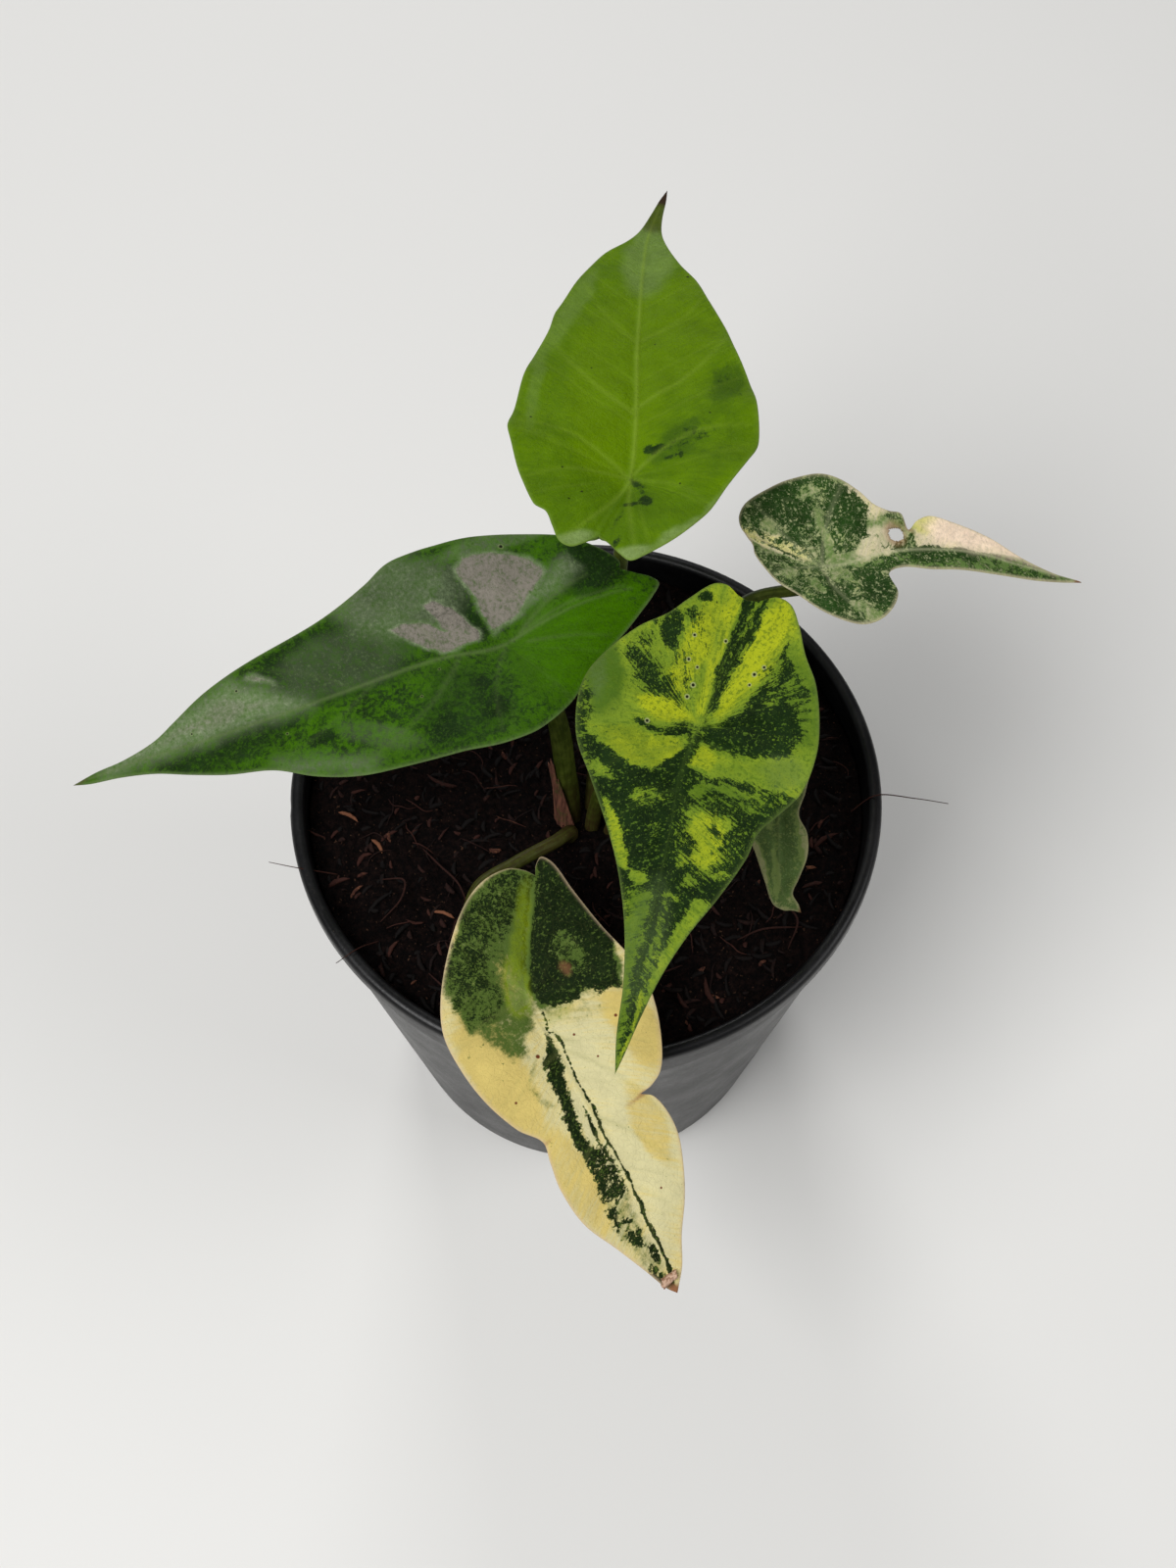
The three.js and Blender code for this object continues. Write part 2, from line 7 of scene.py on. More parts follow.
import bmesh
import bpy
import numpy as np
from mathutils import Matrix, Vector


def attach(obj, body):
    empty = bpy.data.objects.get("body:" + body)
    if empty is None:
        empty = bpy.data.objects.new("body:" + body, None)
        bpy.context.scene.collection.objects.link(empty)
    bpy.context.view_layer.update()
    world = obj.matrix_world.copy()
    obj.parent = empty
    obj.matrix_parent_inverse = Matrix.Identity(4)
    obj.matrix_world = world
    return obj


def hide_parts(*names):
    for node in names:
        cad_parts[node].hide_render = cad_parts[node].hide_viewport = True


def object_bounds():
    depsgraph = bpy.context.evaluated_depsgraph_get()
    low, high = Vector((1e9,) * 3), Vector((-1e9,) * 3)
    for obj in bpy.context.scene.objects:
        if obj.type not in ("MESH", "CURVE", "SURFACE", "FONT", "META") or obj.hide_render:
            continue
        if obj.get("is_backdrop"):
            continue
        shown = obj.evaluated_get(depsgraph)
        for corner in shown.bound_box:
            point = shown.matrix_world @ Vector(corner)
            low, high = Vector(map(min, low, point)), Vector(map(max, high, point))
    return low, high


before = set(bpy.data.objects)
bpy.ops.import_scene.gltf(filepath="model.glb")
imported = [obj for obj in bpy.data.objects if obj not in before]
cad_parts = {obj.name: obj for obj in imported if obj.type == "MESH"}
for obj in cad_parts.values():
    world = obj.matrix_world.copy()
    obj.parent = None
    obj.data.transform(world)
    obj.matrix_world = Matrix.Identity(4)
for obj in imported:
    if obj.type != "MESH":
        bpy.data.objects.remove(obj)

cad_box = [list(corner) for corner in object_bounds()]

MM = 0.001
BODY = "root"
# Points closer than this, in metres, are merged.
SAME_PLACE = 1e-7

# Pot and soil: radii, and heights over the floor
POT_RIM_R = 60.0
POT_BASE_R = 43.0
POT_H = 104.0
WALL = 1.2
COLLAR_Z = 90.0
COLLAR_R = 57.4
LIP_Z = 99.5
LIP_R = 58.2
LIP_BEAD = 1.35
NICK_AT = 183  # degrees from +x
POT_SIDES = 192
DRAIN_HOLES = 8
DRAIN_R = 3.5
DRAIN_RING_R = 30.0
SOIL_TOP = 97.5
SOIL_RELIEF = 0.9
SOIL_GAP = 0.3
# Loose bits and fibres on the soil, before those too near the stalks are left out
BITS = 900
BITS_REACH = 54.5
LOOSE_FIBRES = 90
# Start of each run of random numbers
SEEDS = dict(veins=3, lumps=11, ragged=(41, 43), sheath=5, crumbs=21, grit=31, bits=42, fibres=7)
LATTICE_SIDE = 128
OCTAVES = 3

# Stalks start in the soil at FOOT_Z and end near the place STALK_GAP under the keel of a blade
# as thick as the solid one. The sheath covers the left stalk between two heights.
FOOT_Z = 86.0
SOLID_THICK = 0.7
STALK_GAP = 0.65
SHEATH_LOW = 92.0
SHEATH_TOP = 118.0
# Steps of a curve between two of its points, and a direction that no tube starts in
CURVE_STEPS = 40
OFF_AXIS = (0.3, 0.9, 0.2)

# Blades: numbers of points, thickness, and the keel under the rib
BLADE_ROWS = 236
HALF_COLUMNS = 40
BLADE_THICK = 0.45
RIB_DEPTH = 0.9
RIB_HALF_WIDTH = 1.1
# Form of the sheet's surface: rounding of the fold at the rib, width over which edge waves grow
# and their shift between the halves, size of the hollow at the stalk, length of the back lobes
RIB_ROUND = 3.0
WAVE_REACH = 20.0
WAVE_SHIFT = 1.3
HOLLOW_R = 7.0
LOBE_REACH = 30.0
# Side veins: lean of the first one, how much more the others lean and after what distance
FIRST_LEAN = 0.25
MORE_LEAN = 0.75
LEAN_REACH = 18.0
FAN_R = 14.0
# Fine relief: ridge along the rib, small lumps, and drawn veins with their fading to the end
RIDGE_H = 0.3
LUMP_H = 0.12
VEIN_HALF_WIDTH = 0.45
VEIN_DEPTH = 0.28
STROKE_POINTS = 9
STROKE_FADE = 0.7
# How far the painted places are shifted at random, and how wide the tinted edge is
RAGGED = 0.5
EDGE_WIDTH = 0.42

# Camera: it looks down on the pot at this height angle, from this distance to its aim.
CAMERA_RISE = 61.85
CAMERA_REACH = 450.0
CAMERA_AIM = (0.39, 0.92, 104.0)
FOCAL_PIXELS = 2263.6
LONG_SIDE_PIXELS = 1600
SENSOR = 36.0

# Floor and lights, in metres and watts: name, place, aim, side of the square box, power.
FLOOR_HALF = 3.0
SOFT_BOXES = [("key_box", (-0.55, -0.55, 1.15), (0, 0, 0.1), 0.7, 15),
              ("fill_box", (1.0, -0.2, 0.9), (0, 0, 0.1), 0.8, 5),
              ("back_box", (-0.2, 1.1, 0.75), (0, 0, 0.14), 0.4, 4.5)]
SURROUND_TINT = (0.95, 0.97, 1.0, 1)
SURROUND_LEVEL = 0.13

# Each leaf lies on a bent sheet with flat coordinates of its own: y runs along the sheet's axis
# from the stalk (0, 0) to the tip, x across it, to the right for one who looks along the axis.
# at is the stalk's end; heading, pitch, sag and lift are the axis's direction, rise and bends in
# degrees; fold, cup, dimple, ripple and wave form the surface. rib runs from the notch between
# the back lobes to the tip, and so do the outlines left and right, whose ends are the rib's own.
# sweep is how steeply the side veins lean forwards, gap the distance between them along the rib,
# puff the height of the cushions between them.
LEAVES = {
    "back": dict(
        at=(8, 24, 181), heading=84, pitch=-9, sag=-14, lift=6, fold=0.12, cup=-3, dimple=3.5,
        ripple=0.7, wave=16, sweep=1.0, gap=11, puff=0.22,
        rib=[(-4, -17.3), (0, 0), (-1.8, 34), (-3, 66), (-2.1, 78), (-0.5, 92.5)],
        left=[(-6.8, -19.4), (-8.7, -20.3), (-10.7, -19.3), (-12.2, -16.3), (-13.7, -13.3), (-16, -12),
            (-18.9, -5.7), (-21.5, 1.5), (-22.8, 6), (-22.3, 12), (-21.5, 20), (-20.3, 27.5),
            (-18.5, 34), (-17.8, 41), (-14, 54), (-11, 62), (-6.8, 68.3), (-4.7, 73), (-3, 80.5),
            (-1.7, 87.5)],
        right=[(-2.2, -18.6), (0, -21), (1.9, -22.4), (4, -21.3), (10, -16.4), (13.9, -11.3),
            (17, -4.5), (20.5, 2), (22.2, 8), (21.5, 16), (19.5, 25), (16.3, 33), (14.3, 40),
            (10.5, 48), (7.8, 55), (4.3, 60.5), (1.5, 66.6), (-0.2, 72.5), (-0.6, 79), (-0.4, 87)]),
    "left": dict(
        at=(-14.5, 3.7, 155.5), heading=196.5, pitch=2, sag=-22, lift=0, fold=0.15, cup=-2, dimple=2,
        ripple=0.4, wave=21, sweep=0.8, gap=9, puff=0.28,
        rib=[(9.2, -24.5), (0, 0), (-0.6, 12), (-2.2, 35), (-2.2, 55), (-1, 70), (0, 84.5)],
        left=[(7.2, -27.4), (5.8, -29.4), (3.9, -30.5), (1.5, -28.6), (-1.2, -25.7), (-5.3, -21),
            (-11.6, -13), (-16.6, -7.9), (-19.8, -2.7), (-21.6, 1.5), (-22.3, 7), (-21.4, 14),
            (-21.5, 25), (-20.6, 31.5), (-17.5, 40), (-13.5, 47), (-11, 55), (-8, 62), (-4.9, 68.4),
            (-2.7, 75), (-1.3, 81)],
        right=[(11, -24.9), (14, -22.5), (17, -18.5), (18.9, -14.9), (21, -7.2), (21.8, 0), (22.3, 7),
            (22.3, 11.5), (21, 17), (17.5, 22.4), (14.2, 30), (11.5, 38.8), (9, 50), (6.9, 56.3),
            (3.7, 62.8), (1.6, 67.5), (0.5, 74), (0.5, 79.5)]),
    "centre": dict(
        at=(19.9, -16.2, 158.5), heading=254.7, pitch=-23, sag=-14, lift=8, fold=0.12, cup=-3,
        dimple=2.5, ripple=0.4, wave=19, sweep=0.7, gap=8, puff=0.4,
        rib=[(-3.2, -23.9), (0, 0), (1.1, 8), (0.3, 20), (0, 40), (0, 64.6)],
        left=[(-5.5, -24.3), (-8.2, -25.7), (-11, -24.8), (-13.3, -21.3), (-15.6, -16.4),
            (-18.7, -11.5), (-20.9, -5), (-21.7, 1), (-20.7, 7.8), (-17.6, 12.6), (-15, 16.4),
            (-14, 21.3), (-10.8, 29.2), (-7.1, 36.9), (-4.2, 45), (-2.2, 53.5), (-0.9, 60.5)],
        right=[(-1.1, -24.6), (1, -25.9), (3.5, -25.5), (6.8, -22.1), (10, -18.3), (14.5, -14.7),
            (18.8, -9.6), (21.5, -4.5), (21.9, 1), (20.4, 7.5), (16.4, 13.6), (10.9, 22.3), (7.4, 29.3),
            (4.3, 38), (2.2, 48), (1.3, 57.5)]),
    "front": dict(
        at=(-10.5, -49.6, 114), heading=298, pitch=-6, sag=-34, lift=0, fold=0.12, cup=-3, dimple=2,
        ripple=0.4, wave=18, sweep=0.8, gap=9, puff=0.3,
        rib=[(-12, -21), (0, 0), (0.2, 14), (-0.7, 30), (-1.2, 47), (-1, 63)],
        left=[(-13, -22.8), (-14.8, -24), (-16.3, -21.5), (-17, -15), (-18.2, -7.5), (-20, 0), (-21, 6),
            (-20.3, 12.5), (-18, 19), (-15.4, 23.5), (-12.5, 25.3), (-10, 25.9), (-12, 27),
            (-13.2, 30.5), (-13.3, 35), (-12, 40), (-9.5, 46.5), (-6, 53), (-3.8, 58.5)],
        right=[(-10.5, -23), (-7.5, -24.7), (-2, -24.3), (3.5, -21.2), (9.7, -14.8), (15, -7.5),
            (18, -0.5), (18.2, 6), (16.7, 14.5), (13.7, 21.5), (10.4, 25.6), (10.8, 29.5), (11.3, 35),
            (10, 42.5), (6.2, 49.7), (3, 56), (0.6, 61)]),
    "right": dict(
        at=(43.3, 14.5, 165), heading=4.5, pitch=-6, sag=-18, lift=0, fold=0.15, cup=0, dimple=2,
        ripple=0.5, wave=13, sweep=0.8, gap=6, puff=0.35,
        rib=[(-5.4, -13.3), (0, 0), (-2.3, 13), (-3.2, 24), (-3, 31), (-1.5, 38.5), (0, 52)],
        left=[(-7.5, -14.6), (-10, -14.6), (-12.5, -13), (-14.9, -8.9), (-16.9, -4.5), (-17.7, 0),
            (-16.6, 4.5), (-14.6, 8.1), (-12, 10.8), (-10.7, 13.5), (-10.2, 15.8), (-7, 16.9),
            (-9, 18.8), (-10.2, 21.5), (-9.5, 25), (-6.8, 33), (-3.2, 39.5), (-0.9, 46)],
        right=[(-3.7, -12.6), (-1.5, -12.6), (2, -11), (5, -9), (7.5, -5.8), (11.5, -2), (14, 1.5),
            (14.8, 4.8), (13.5, 8.5), (10.5, 11.3), (7, 12.6), (4.3, 11.6), (2.2, 12.2), (1.2, 15),
            (1.5, 20), (1.2, 26), (1.4, 33), (1.5, 41), (0.9, 47)]),
    "small": dict(
        at=(36.7, -4, 126), heading=279, pitch=-30, sag=-22, lift=0, fold=0.15, cup=-4, dimple=1.5,
        ripple=0.4, wave=9, sweep=0.8, gap=5, puff=0.2,
        rib=[(0.5, -8), (0, 0), (1, 12), (1.8, 22), (1.6, 28), (-1.8, 33)],
        left=[(-2, -10), (-5, -9), (-7, -4), (-7, 2), (-4.8, 8.5), (-3, 12.6), (-4.2, 16.5), (-3.8, 21),
            (-1.8, 25.5), (-0.4, 28.5), (-1.4, 31.2)],
        right=[(3, -10.5), (6.5, -9.5), (9, -4.5), (9.2, 3), (8, 12), (6.2, 19.6), (4.9, 25.5),
            (3.8, 30), (1.8, 31.8), (0, 32.2)]),
}
TEAR_AT = (-5.9, 14.4)
TEAR_R = 1.5

# Each stalk: centre of its foot in the soil, radius at foot and top, and points on its way up.
STALKS = {
    "back": dict(foot=(1.4, -0.6), radii=(1.9, 1.35),
                 via=[(3, 10, 121), (5.6, 20, 143), (7, 24.4, 160), (7.8, 24.8, 171)]),
    "left": dict(foot=(-3.3, -2.7), radii=(2.6, 1.6),
                 via=[(-4, -1, 110), (-6, 3.5, 128), (-10.5, 5, 141)]),
    "centre": dict(foot=(1.2, -5), radii=(1.65, 1.2),
                   via=[(3, -6, 114), (10, -9, 136), (16.5, -12, 147)]),
    "front": dict(foot=(-3, -7.3), radii=(1.45, 1.2),
                  via=[(-3.2, -7.7, 99.6), (-6.4, -11.6, 102.6), (-14.3, -17.6, 105),
                       (-21.5, -24, 106.5), (-22.5, -36, 107), (-16, -46, 109)]),
    "right": dict(foot=(4.7, -2.8), radii=(1.4, 1.15),
                  via=[(7.5, 0, 110), (17, 9, 129), (30, 17.5, 146)]),
    "small": dict(foot=(4.4, -6.2), radii=(1.1, 0.85),
                  via=[(7, -6.4, 106), (16, -5.5, 114), (27, -4, 119.5)]),
}

# How each blade is marked, in its flat coordinates. Every list starts with the field's level
# all over the blade and goes on with places that bring it to another level, each laid over the
# ones before it. Five or six numbers are an ellipse: level, x, y, half length, half width, and
# its turn from +x if it has one. A level, a list of corners and a number are an outline and how
# soft its edge is. mark: share of dark green, with one painted shadow on the left leaf; wash: mid
# green under it; warm: yellow or cream in the ground; bloom_and_sheen: silvery wax, and painted
# sheen, highlights and reflections on the back and left leaves; dry: dead tissue. lines are ribs
# and veins from one point to another: x, y, x, y, sideways bow, strength. dots are specks: x, y,
# radius.
MARKS = {
    "back": dict(
        mark=[0, (0.95, 3.9, 6.6, 2.3, 1, 8), (0.66, 7.8, 4.2, 2, 0.8), (0.42, 9.5, 8.2, 5, 2.2, 30),
            (0.32, 14.8, 25.4, 2, 2.4, -25), (0.24, 17, 20, 1.4, 2.6, -15),
            (0.66, 1.6, -2.2, 3.2, 0.9, -68), (0.85, 3, -7.2, 1.8, 1.2, -70),
            (0.6, 0.4, -8, 1.6, 0.9, 10), (0.5, -1.2, -13, 2.4, 0.6, 80), (0.5, -1, -18.5, 2, 0.7, 75)],
        wash=[0.05, (0.75, 10, 8.6, 8.5, 3.8, 32), (0.7, 15.6, 22.5, 3, 6.5, -15),
            (0.5, 2, -5, 6, 2.6, -75), (0.3, -15, 5, 5, 14), (0.35, 16, 8, 5, 9)],
        warm=[0.45, (0.85, -4, 24, 9, 26), (0.75, 6, 38, 7, 18), (0.3, 0, -12, 20, 9)],
        # Back leaf: painted highlights along the back lobes' rims, where they turn up to the light, and
        # painted sheen along the left margin; the two patches near the tip make it paler there.
        bloom_and_sheen=[0, (0.8, -8.5, -18.6, 4, 1.4, 20), (0.85, 2.6, -20.8, 3.5, 1.6, 10),
            (0.6, 10.5, -15.4, 6, 1.2, 45), (0.45, 15.5, -8.6, 5, 1, 62), (0.45, -3, 71, 3, 5, 10),
            (0.4, -2, 60, 5, 11), (0.22, -15, 42, 2.2, 14, -12), (0.18, -19, 20, 1.3, 14)],
        dry=[0, (0.55, -1.8, 80, 7.5, 4, 90), (1, -0.8, 89.5, 4.5, 4, 90)],
        lines=[(0, 0, -10, -18.5, 1.5, 0.45), (0, 0, 3, -21, -0.8, 0.45), (0, 0, -19, -6, -1.5, 0.3),
            (0, 0, -21, 8, -2, 0.35), (0.3, 1, 20, 12, 2.5, 0.4), (0, 0, 15, -9, 1.5, 0.3),
            (-1, 14, -19, 34, 2, 0.35), (-1, 15, 15, 37, -2, 0.4), (-2, 34, -14, 52, 1.6, 0.25),
            (-2, 34, 10, 50, -1.6, 0.25)],
        dots=[(-19, 9.5, 0.25), (-9.5, 24, 0.2), (6, 56, 0.3), (1.5, 33, 0.2), (-12, -2, 0.2),
            (-8, -7, 0.25), (-10, -9.5, 0.22), (9, -3, 0.2), (13, 14, 0.2)]),
    "left": dict(
        mark=[0.3, (0, -6, -14, 14, 13, 25), (0.5, [(-21, 20), (-14, 19), (-6, 9), (-4, 4), (-8, 2),
            (-14, 3), (-19, 6), (-22, 12)], 5), (0.75, -15.5, 15.5, 2.6, 3, 20),
            (0.75, -13.8, 6, 2.4, 2), (0.72, -8, 6.5, 2, 1.6), (0.5, -7.5, 25, 4, 7, -10),
            (0.45, -13, 32, 3, 4), (0.75, -10.6, 37.5, 1.7, 2.6), (0.62, [(-9, 66), (-3, 68),
            (-2.8, 44), (-5, 40), (-8.5, 47)], 3), (0.64, [(0.2, 17), (3, 22), (7, 24.5), (11, 31),
            (10.5, 38), (8.8, 48), (5, 46), (1.5, 42), (-1, 34), (-1.2, 24)], 2.6),
            (0.4, 7.8, 38, 1.6, 2.4), (0.4, 5.2, 31, 1.5, 1.2), (0.45, 8.8, 33.5, 1.4, 1.2),
            (0.5, 3.6, 43.5, 1.4, 1), (0.6, [(9, 22), (14, 18), (18, 20), (14, 28), (11, 33)], 3.5),
            (0.5, [(7, 18), (11, 13), (18, 7), (20, 12), (14, 18)], 4), (0.95, [(1.5, 3.2), (9, 4.2),
            (17, 6.8), (13, 9), (10.5, 12), (8, 16.5), (7.6, 12.8), (4.5, 8), (2, 5)], 1.2),
            # Painted shadow: the dark corner of the back lobe on the right, where the back leaf shades
            # it.
            (0.95, [(8, -16), (14, -14.5), (17, -18), (13, -25), (8, -24), (6.5, -20)], 2.2)],
        wash=[0.35, (0, -6, -16, 12, 14, 20), (0.9, 4, 30, 8, 13), (0.75, -12, 11, 9, 9),
            (0.7, -6, 54, 4, 15, 10), (0.95, 10, -19, 5, 6, 30), (0.8, 13, 16, 8, 9)],
        warm=[0.35, (0.95, -5, -17, 12, 13, 30), (0.75, -8, 30, 8, 14)],
        # Left leaf: painted reflection of the light on the glossy skin: pink-grey panels beside the
        # stalk, bluish-grey below them, a small pink patch, and grey-green bands along the rib, the
        # margins and the right half.
        bloom_and_sheen=[0, (0.62, [(-2.2, 38), (0.5, 40), (4, 47), (7, 52), (4, 62), (0.4, 78), (-1.2, 78),
            (-2.2, 60)], 3.5), (0.14, 4, 30, 6, 12), (0.34, 13.5, 17, 8, 12, -10), (0.68, [(3.4, 42.6),
            (5, 43.4), (7, 46.8), (6.6, 48), (5.2, 46.4), (4.6, 44.8)], 0.7), (0.3, [(-20.5, 30),
            (-18, 28), (-14, 38), (-12, 46), (-15, 46)], 2.5), (0.12, -13.5, 27, 2.5, 8, -32),
            (0.25, 20, -3, 2, 12, 5), (0.9, [(0.8, 12.5), (2.6, 15.6), (7.2, 20.4), (8, 18),
            (6.4, 13.2), (4.8, 10.4), (10.8, 13), (11, 11.2), (9, 8.2), (4, 5), (2, 4.3),
            (0.9, 7)], 0.6), (0.9, [(2.4, 2.1), (8.5, 3.3), (15.8, 5.6), (17.6, 3), (17.4, -4),
            (15.4, -8.5), (12, -10.5), (8.4, -7.6), (5, -3.6)], 0.9), (0.45, [(5, -4), (9, -8.6),
            (13.2, -12.6), (14.5, -15.4), (11, -17), (8, -12.5)], 1.6)],
        dry=[0, (0.5, 0, 84, 1, 2)],
        lines=[(0.4, -1, 4, -25, 1.2, 0.55), (1.2, -3, 5, -24, 1.6, 0.4), (1.5, -3, 9.5, -18, 1, 0.5),
            (-0.8, -4, -5.2, -18, 0.4, 0.3), (-0.4, 9, -18, 33, 3.4, 0.28), (0, 0, -20, 6, -1.6, 0.22),
            (-2.2, 26, -13, 52, 2.2, 0.2), (0.2, 12, 14.5, 27, -3, 0.22),
            (-1.6, 30, 8.8, 50, -1.6, 0.15)],
        dots=[(-3, 13.5, 0.2), (5, 50, 0.22), (0, 60, 0.18), (-8, 18, 0.2), (18.6, -4, 0.35),
            (-7, 43, 0.2)]),
    "centre": dict(
        mark=[0.95, (0.04, [(-24, 9), (-19, 8.8), (-10, 8.1), (-4, 8.8), (-0.6, 7.2), (-0.4, 0.5),
            (1.6, 3.6), (3.2, 7.2), (6.4, 9.9), (10, 9.5), (14, 7.8), (18, 6.5), (24, 5.5), (24, -12),
            (12, -30), (-12, -30), (-25, -10)], 1), (0.84, [(-0.6, -0.6), (-2.2, 2.8), (-8, 3.9),
            (-14, 3.3), (-17.8, 1.5), (-18.6, -3), (-17.5, -8.5), (-14.6, -13.6), (-12, -17),
            (-9.8, -11.5), (-7, -5), (-3.5, -1.6)], 1.9), (1, -8.5, 1.2, 7, 1.7, 2),
            (0.95, -10, -3.5, 5.5, 1.8, 16), (0.5, -10.2, -12, 2.8, 2.6, 40),
            (0.5, -16.2, -9.4, 2.4, 3, 30), (0.35, -18, -5, 1.3, 2.6), (0.55, -12, -7.5, 2, 1.4, 30),
            (0.02, [(-3.4, -2.8), (-6.6, -4.6), (-9, -11), (-11.5, -17), (-13, -21), (-9, -27),
            (-6.4, -25), (-4.3, -12), (-2.4, -5)], 1.4), (0.88, [(-0.7, -1.4), (-2.4, -4), (-4.2, -12),
            (-6.6, -20), (-6.2, -25.5), (-2, -25.5), (-1.3, -12)], 1.1),
            (0.35, -3.4, -17.5, 6, 0.35, 79), (0.4, -4.6, -21, 3, 0.4, 78), (0, [(-0.6, -2.4),
            (0.3, -2.4), (0.8, -26), (-1.5, -26), (-1, -12)], 0.6), (0.24, 4, -14, 9, 3.4, 80),
            (0.45, 3, -6, 4, 0.6, -60), (0.78, [(3.4, -2), (8, -3.1), (14, -5.6), (17, -9.2),
            (15, -11.2), (10, -9.8), (7, -7)], 2.2), (0.8, 8.8, -15.6, 1.7, 3.6),
            (0.55, 12.6, -12.8, 1.5, 1.5), (0.88, 4.3, -22.8, 1.5, 1.1), (0.6, 6.4, -19, 1.1, 1.6),
            (0.5, 11.6, -16.5, 1, 1.4), (0.03, 6.6, -1.5, 3.8, 1.2, -12),
            (0.05, 17.8, -6, 3.2, 4.6, 30), (0.05, 14, -3, 3.4, 1.5, -25),
            (0.95, 3.6, 2.2, 2.8, 0.9, 14), (0.85, 8.6, 2.2, 3.4, 0.8, 2),
            (0.75, 2.2, 0.6, 2.4, 0.5, 10), (0.02, [(1.8, 3.8), (3.2, 7.2), (6.4, 9.9), (10, 9.6),
            (14.4, 7.4), (17.2, 4.6), (17, 1.4), (13, 1.6), (9, 3.6), (5, 3.9)], 0.6),
            (0.68, [(15.8, 10), (18, 5.6), (19.2, -2), (23, -3), (23, 9), (17, 14)], 2.2),
            (0.56, [(-18, 8.8), (-18, 12), (-11, 14), (-1, 13), (-0.7, 9.2), (-8, 8.3)], 1.5),
            (0.05, -7.6, 10.6, 3.6, 0.6, 4), (0.2, -2.6, 11.4, 1.6, 0.9, 20),
            (0.62, -6.5, 19.5, 7, 7.5), (0.16, [(-9.4, 23), (-7, 24.6), (-5, 23.4), (-4.6, 20.6),
            (-2.5, 19), (-2, 15.4), (-4, 13.6), (-5.6, 16), (-6, 18.6), (-8.7, 19.4)], 1.3),
            (0.15, -8.6, 16.5, 1.2, 1.4), (0.3, -5.4, 27.5, 1.7, 0.9), (0.35, -10.2, 25, 1.3, 1),
            (0.3, -2.3, 24.5, 1.1, 1.3), (0.4, -12.5, 12.5, 2.2, 1.3), (0.42, -3, 31, 1.8, 1),
            (0.02, [(-9.8, 31), (-7.4, 30.4), (-4.8, 36), (-2.9, 42), (-1.8, 51), (-3.2, 51),
            (-5.4, 42), (-8, 35.5)], 0.9), (0.5, -1.7, 40, 10, 1.1, 88), (0.45, 5.6, 14.6, 3, 1.9, 10),
            (0.3, 14, 12.4, 1.8, 1.2), (0.6, 3, 20, 1.6, 1.6), (0.5, 17, 11.2, 2, 1.4),
            (0.02, 3.8, 28.6, 1.8, 1.4), (0.02, [(6.2, 28.4), (8.3, 27.8), (10.6, 22.6), (13.7, 16.8),
            (12.6, 16.4), (9.2, 20.8), (7, 24.4)], 0.9), (0.24, [(0.6, 31), (3.5, 30.6), (6, 31.5),
            (4.4, 42), (2.6, 52), (1, 65), (0, 65), (0.6, 45)], 1.7), (0.03, [(-1.9, 49), (-0.9, 49),
            (-0.2, 65), (-0.9, 63)], 0.6)],
        wash=[0.25, (0.6, [(0.6, 30), (6, 30), (3, 52), (1, 65), (0, 65)], 1.5), (0.6, -8, 12, 10, 3),
            (0.8, 18.5, -5, 3.5, 7, 15), (0.6, -17, -8, 5, 9, 15), (0.45, 10, 6, 7, 3, -8),
            (0.35, -11, 6, 8, 2), (0, 7, -1.6, 4.5, 1.6), (0, [(-0.6, -2), (0.4, -2), (0.8, -26),
            (-1.6, -26)], 0.7), (0.1, [(-3.4, -3), (-9, -11), (-13, -21), (-9, -27), (-6, -25),
            (-2.4, -5)], 1.5), (0.3, 4.5, -14, 9, 3, 80)],
        warm=[0.25, (0.6, [(-0.7, -2), (0.5, -2), (1, -26), (-1.8, -26)], 0.7), (0.85, [(-3.4, -2.8),
            (-9, -11), (-13, -21), (-9, -27), (-7.6, -24), (-2.8, -6)], 2),
            (1, 6.6, -1.6, 4.5, 1.6, -10), (0.6, 8.5, 6.5, 7, 3, -10), (0.75, 4, -13, 9, 2.6, 80),
            (0.6, -2, 5, 2.4, 2.4), (0.55, 4, 6, 2.4, 2.4), (0.55, -6, 20, 4, 5),
            (0.45, 9, 22, 6, 2, -57), (0.6, -1.4, 57, 1, 8)],
        bloom_and_sheen=[0, (0.2, 0, 40, 4, 12), (0.3, 20, -6, 1.6, 6, 20), (0.2, -17, 5, 4, 3)],
        dry=[0],
        lines=[(0, 0.5, 0.8, 11, -0.3, 0.3), (0, 0, -8, -25, 0.8, 0.15), (0.5, 0, 20, 3, -1.5, 0.22),
            (0.5, 4, 16, 12.5, -1.2, 0.2), (-0.5, 3, -18, 9, 1.4, 0.2), (0.6, 12, 11.5, 21.5, -1, 0.15),
            (0.2, 13, -11, 27, 1, 0.15)],
        dots=[(3.2, -4.6, 0.28), (2.6, -6.8, 0.3), (4.4, -11, 0.25), (4.4, -15.4, 0.25),
            (-7.6, -11, 0.3), (-9, -12.6, 0.25), (-7.2, -9, 0.22), (9, 1.4, 0.28), (2.6, -10, 0.22),
            (-1.2, -15.8, 0.25)]),
    "front": dict(
        mark=[0, (0.97, [(-0.2, -3), (-1.2, 1.4), (-3.6, 3.4), (-7.4, 4.4), (-10.2, 3), (-12, 5.4),
            (-15.6, 6.2), (-17.4, 2), (-19, -3), (-18, -12), (-17.6, -22), (-14.6, -26), (-12.4, -21),
            (-8, -14), (-3, -7)], 1.1), (0.52, [(-13.6, -1), (-12, 1), (-9, -0.4), (-7, -3.4),
            (-7.6, -6.4), (-11, -9.6), (-14, -6)], 2), (0.35, -12, -3.2, 1.2, 1.2),
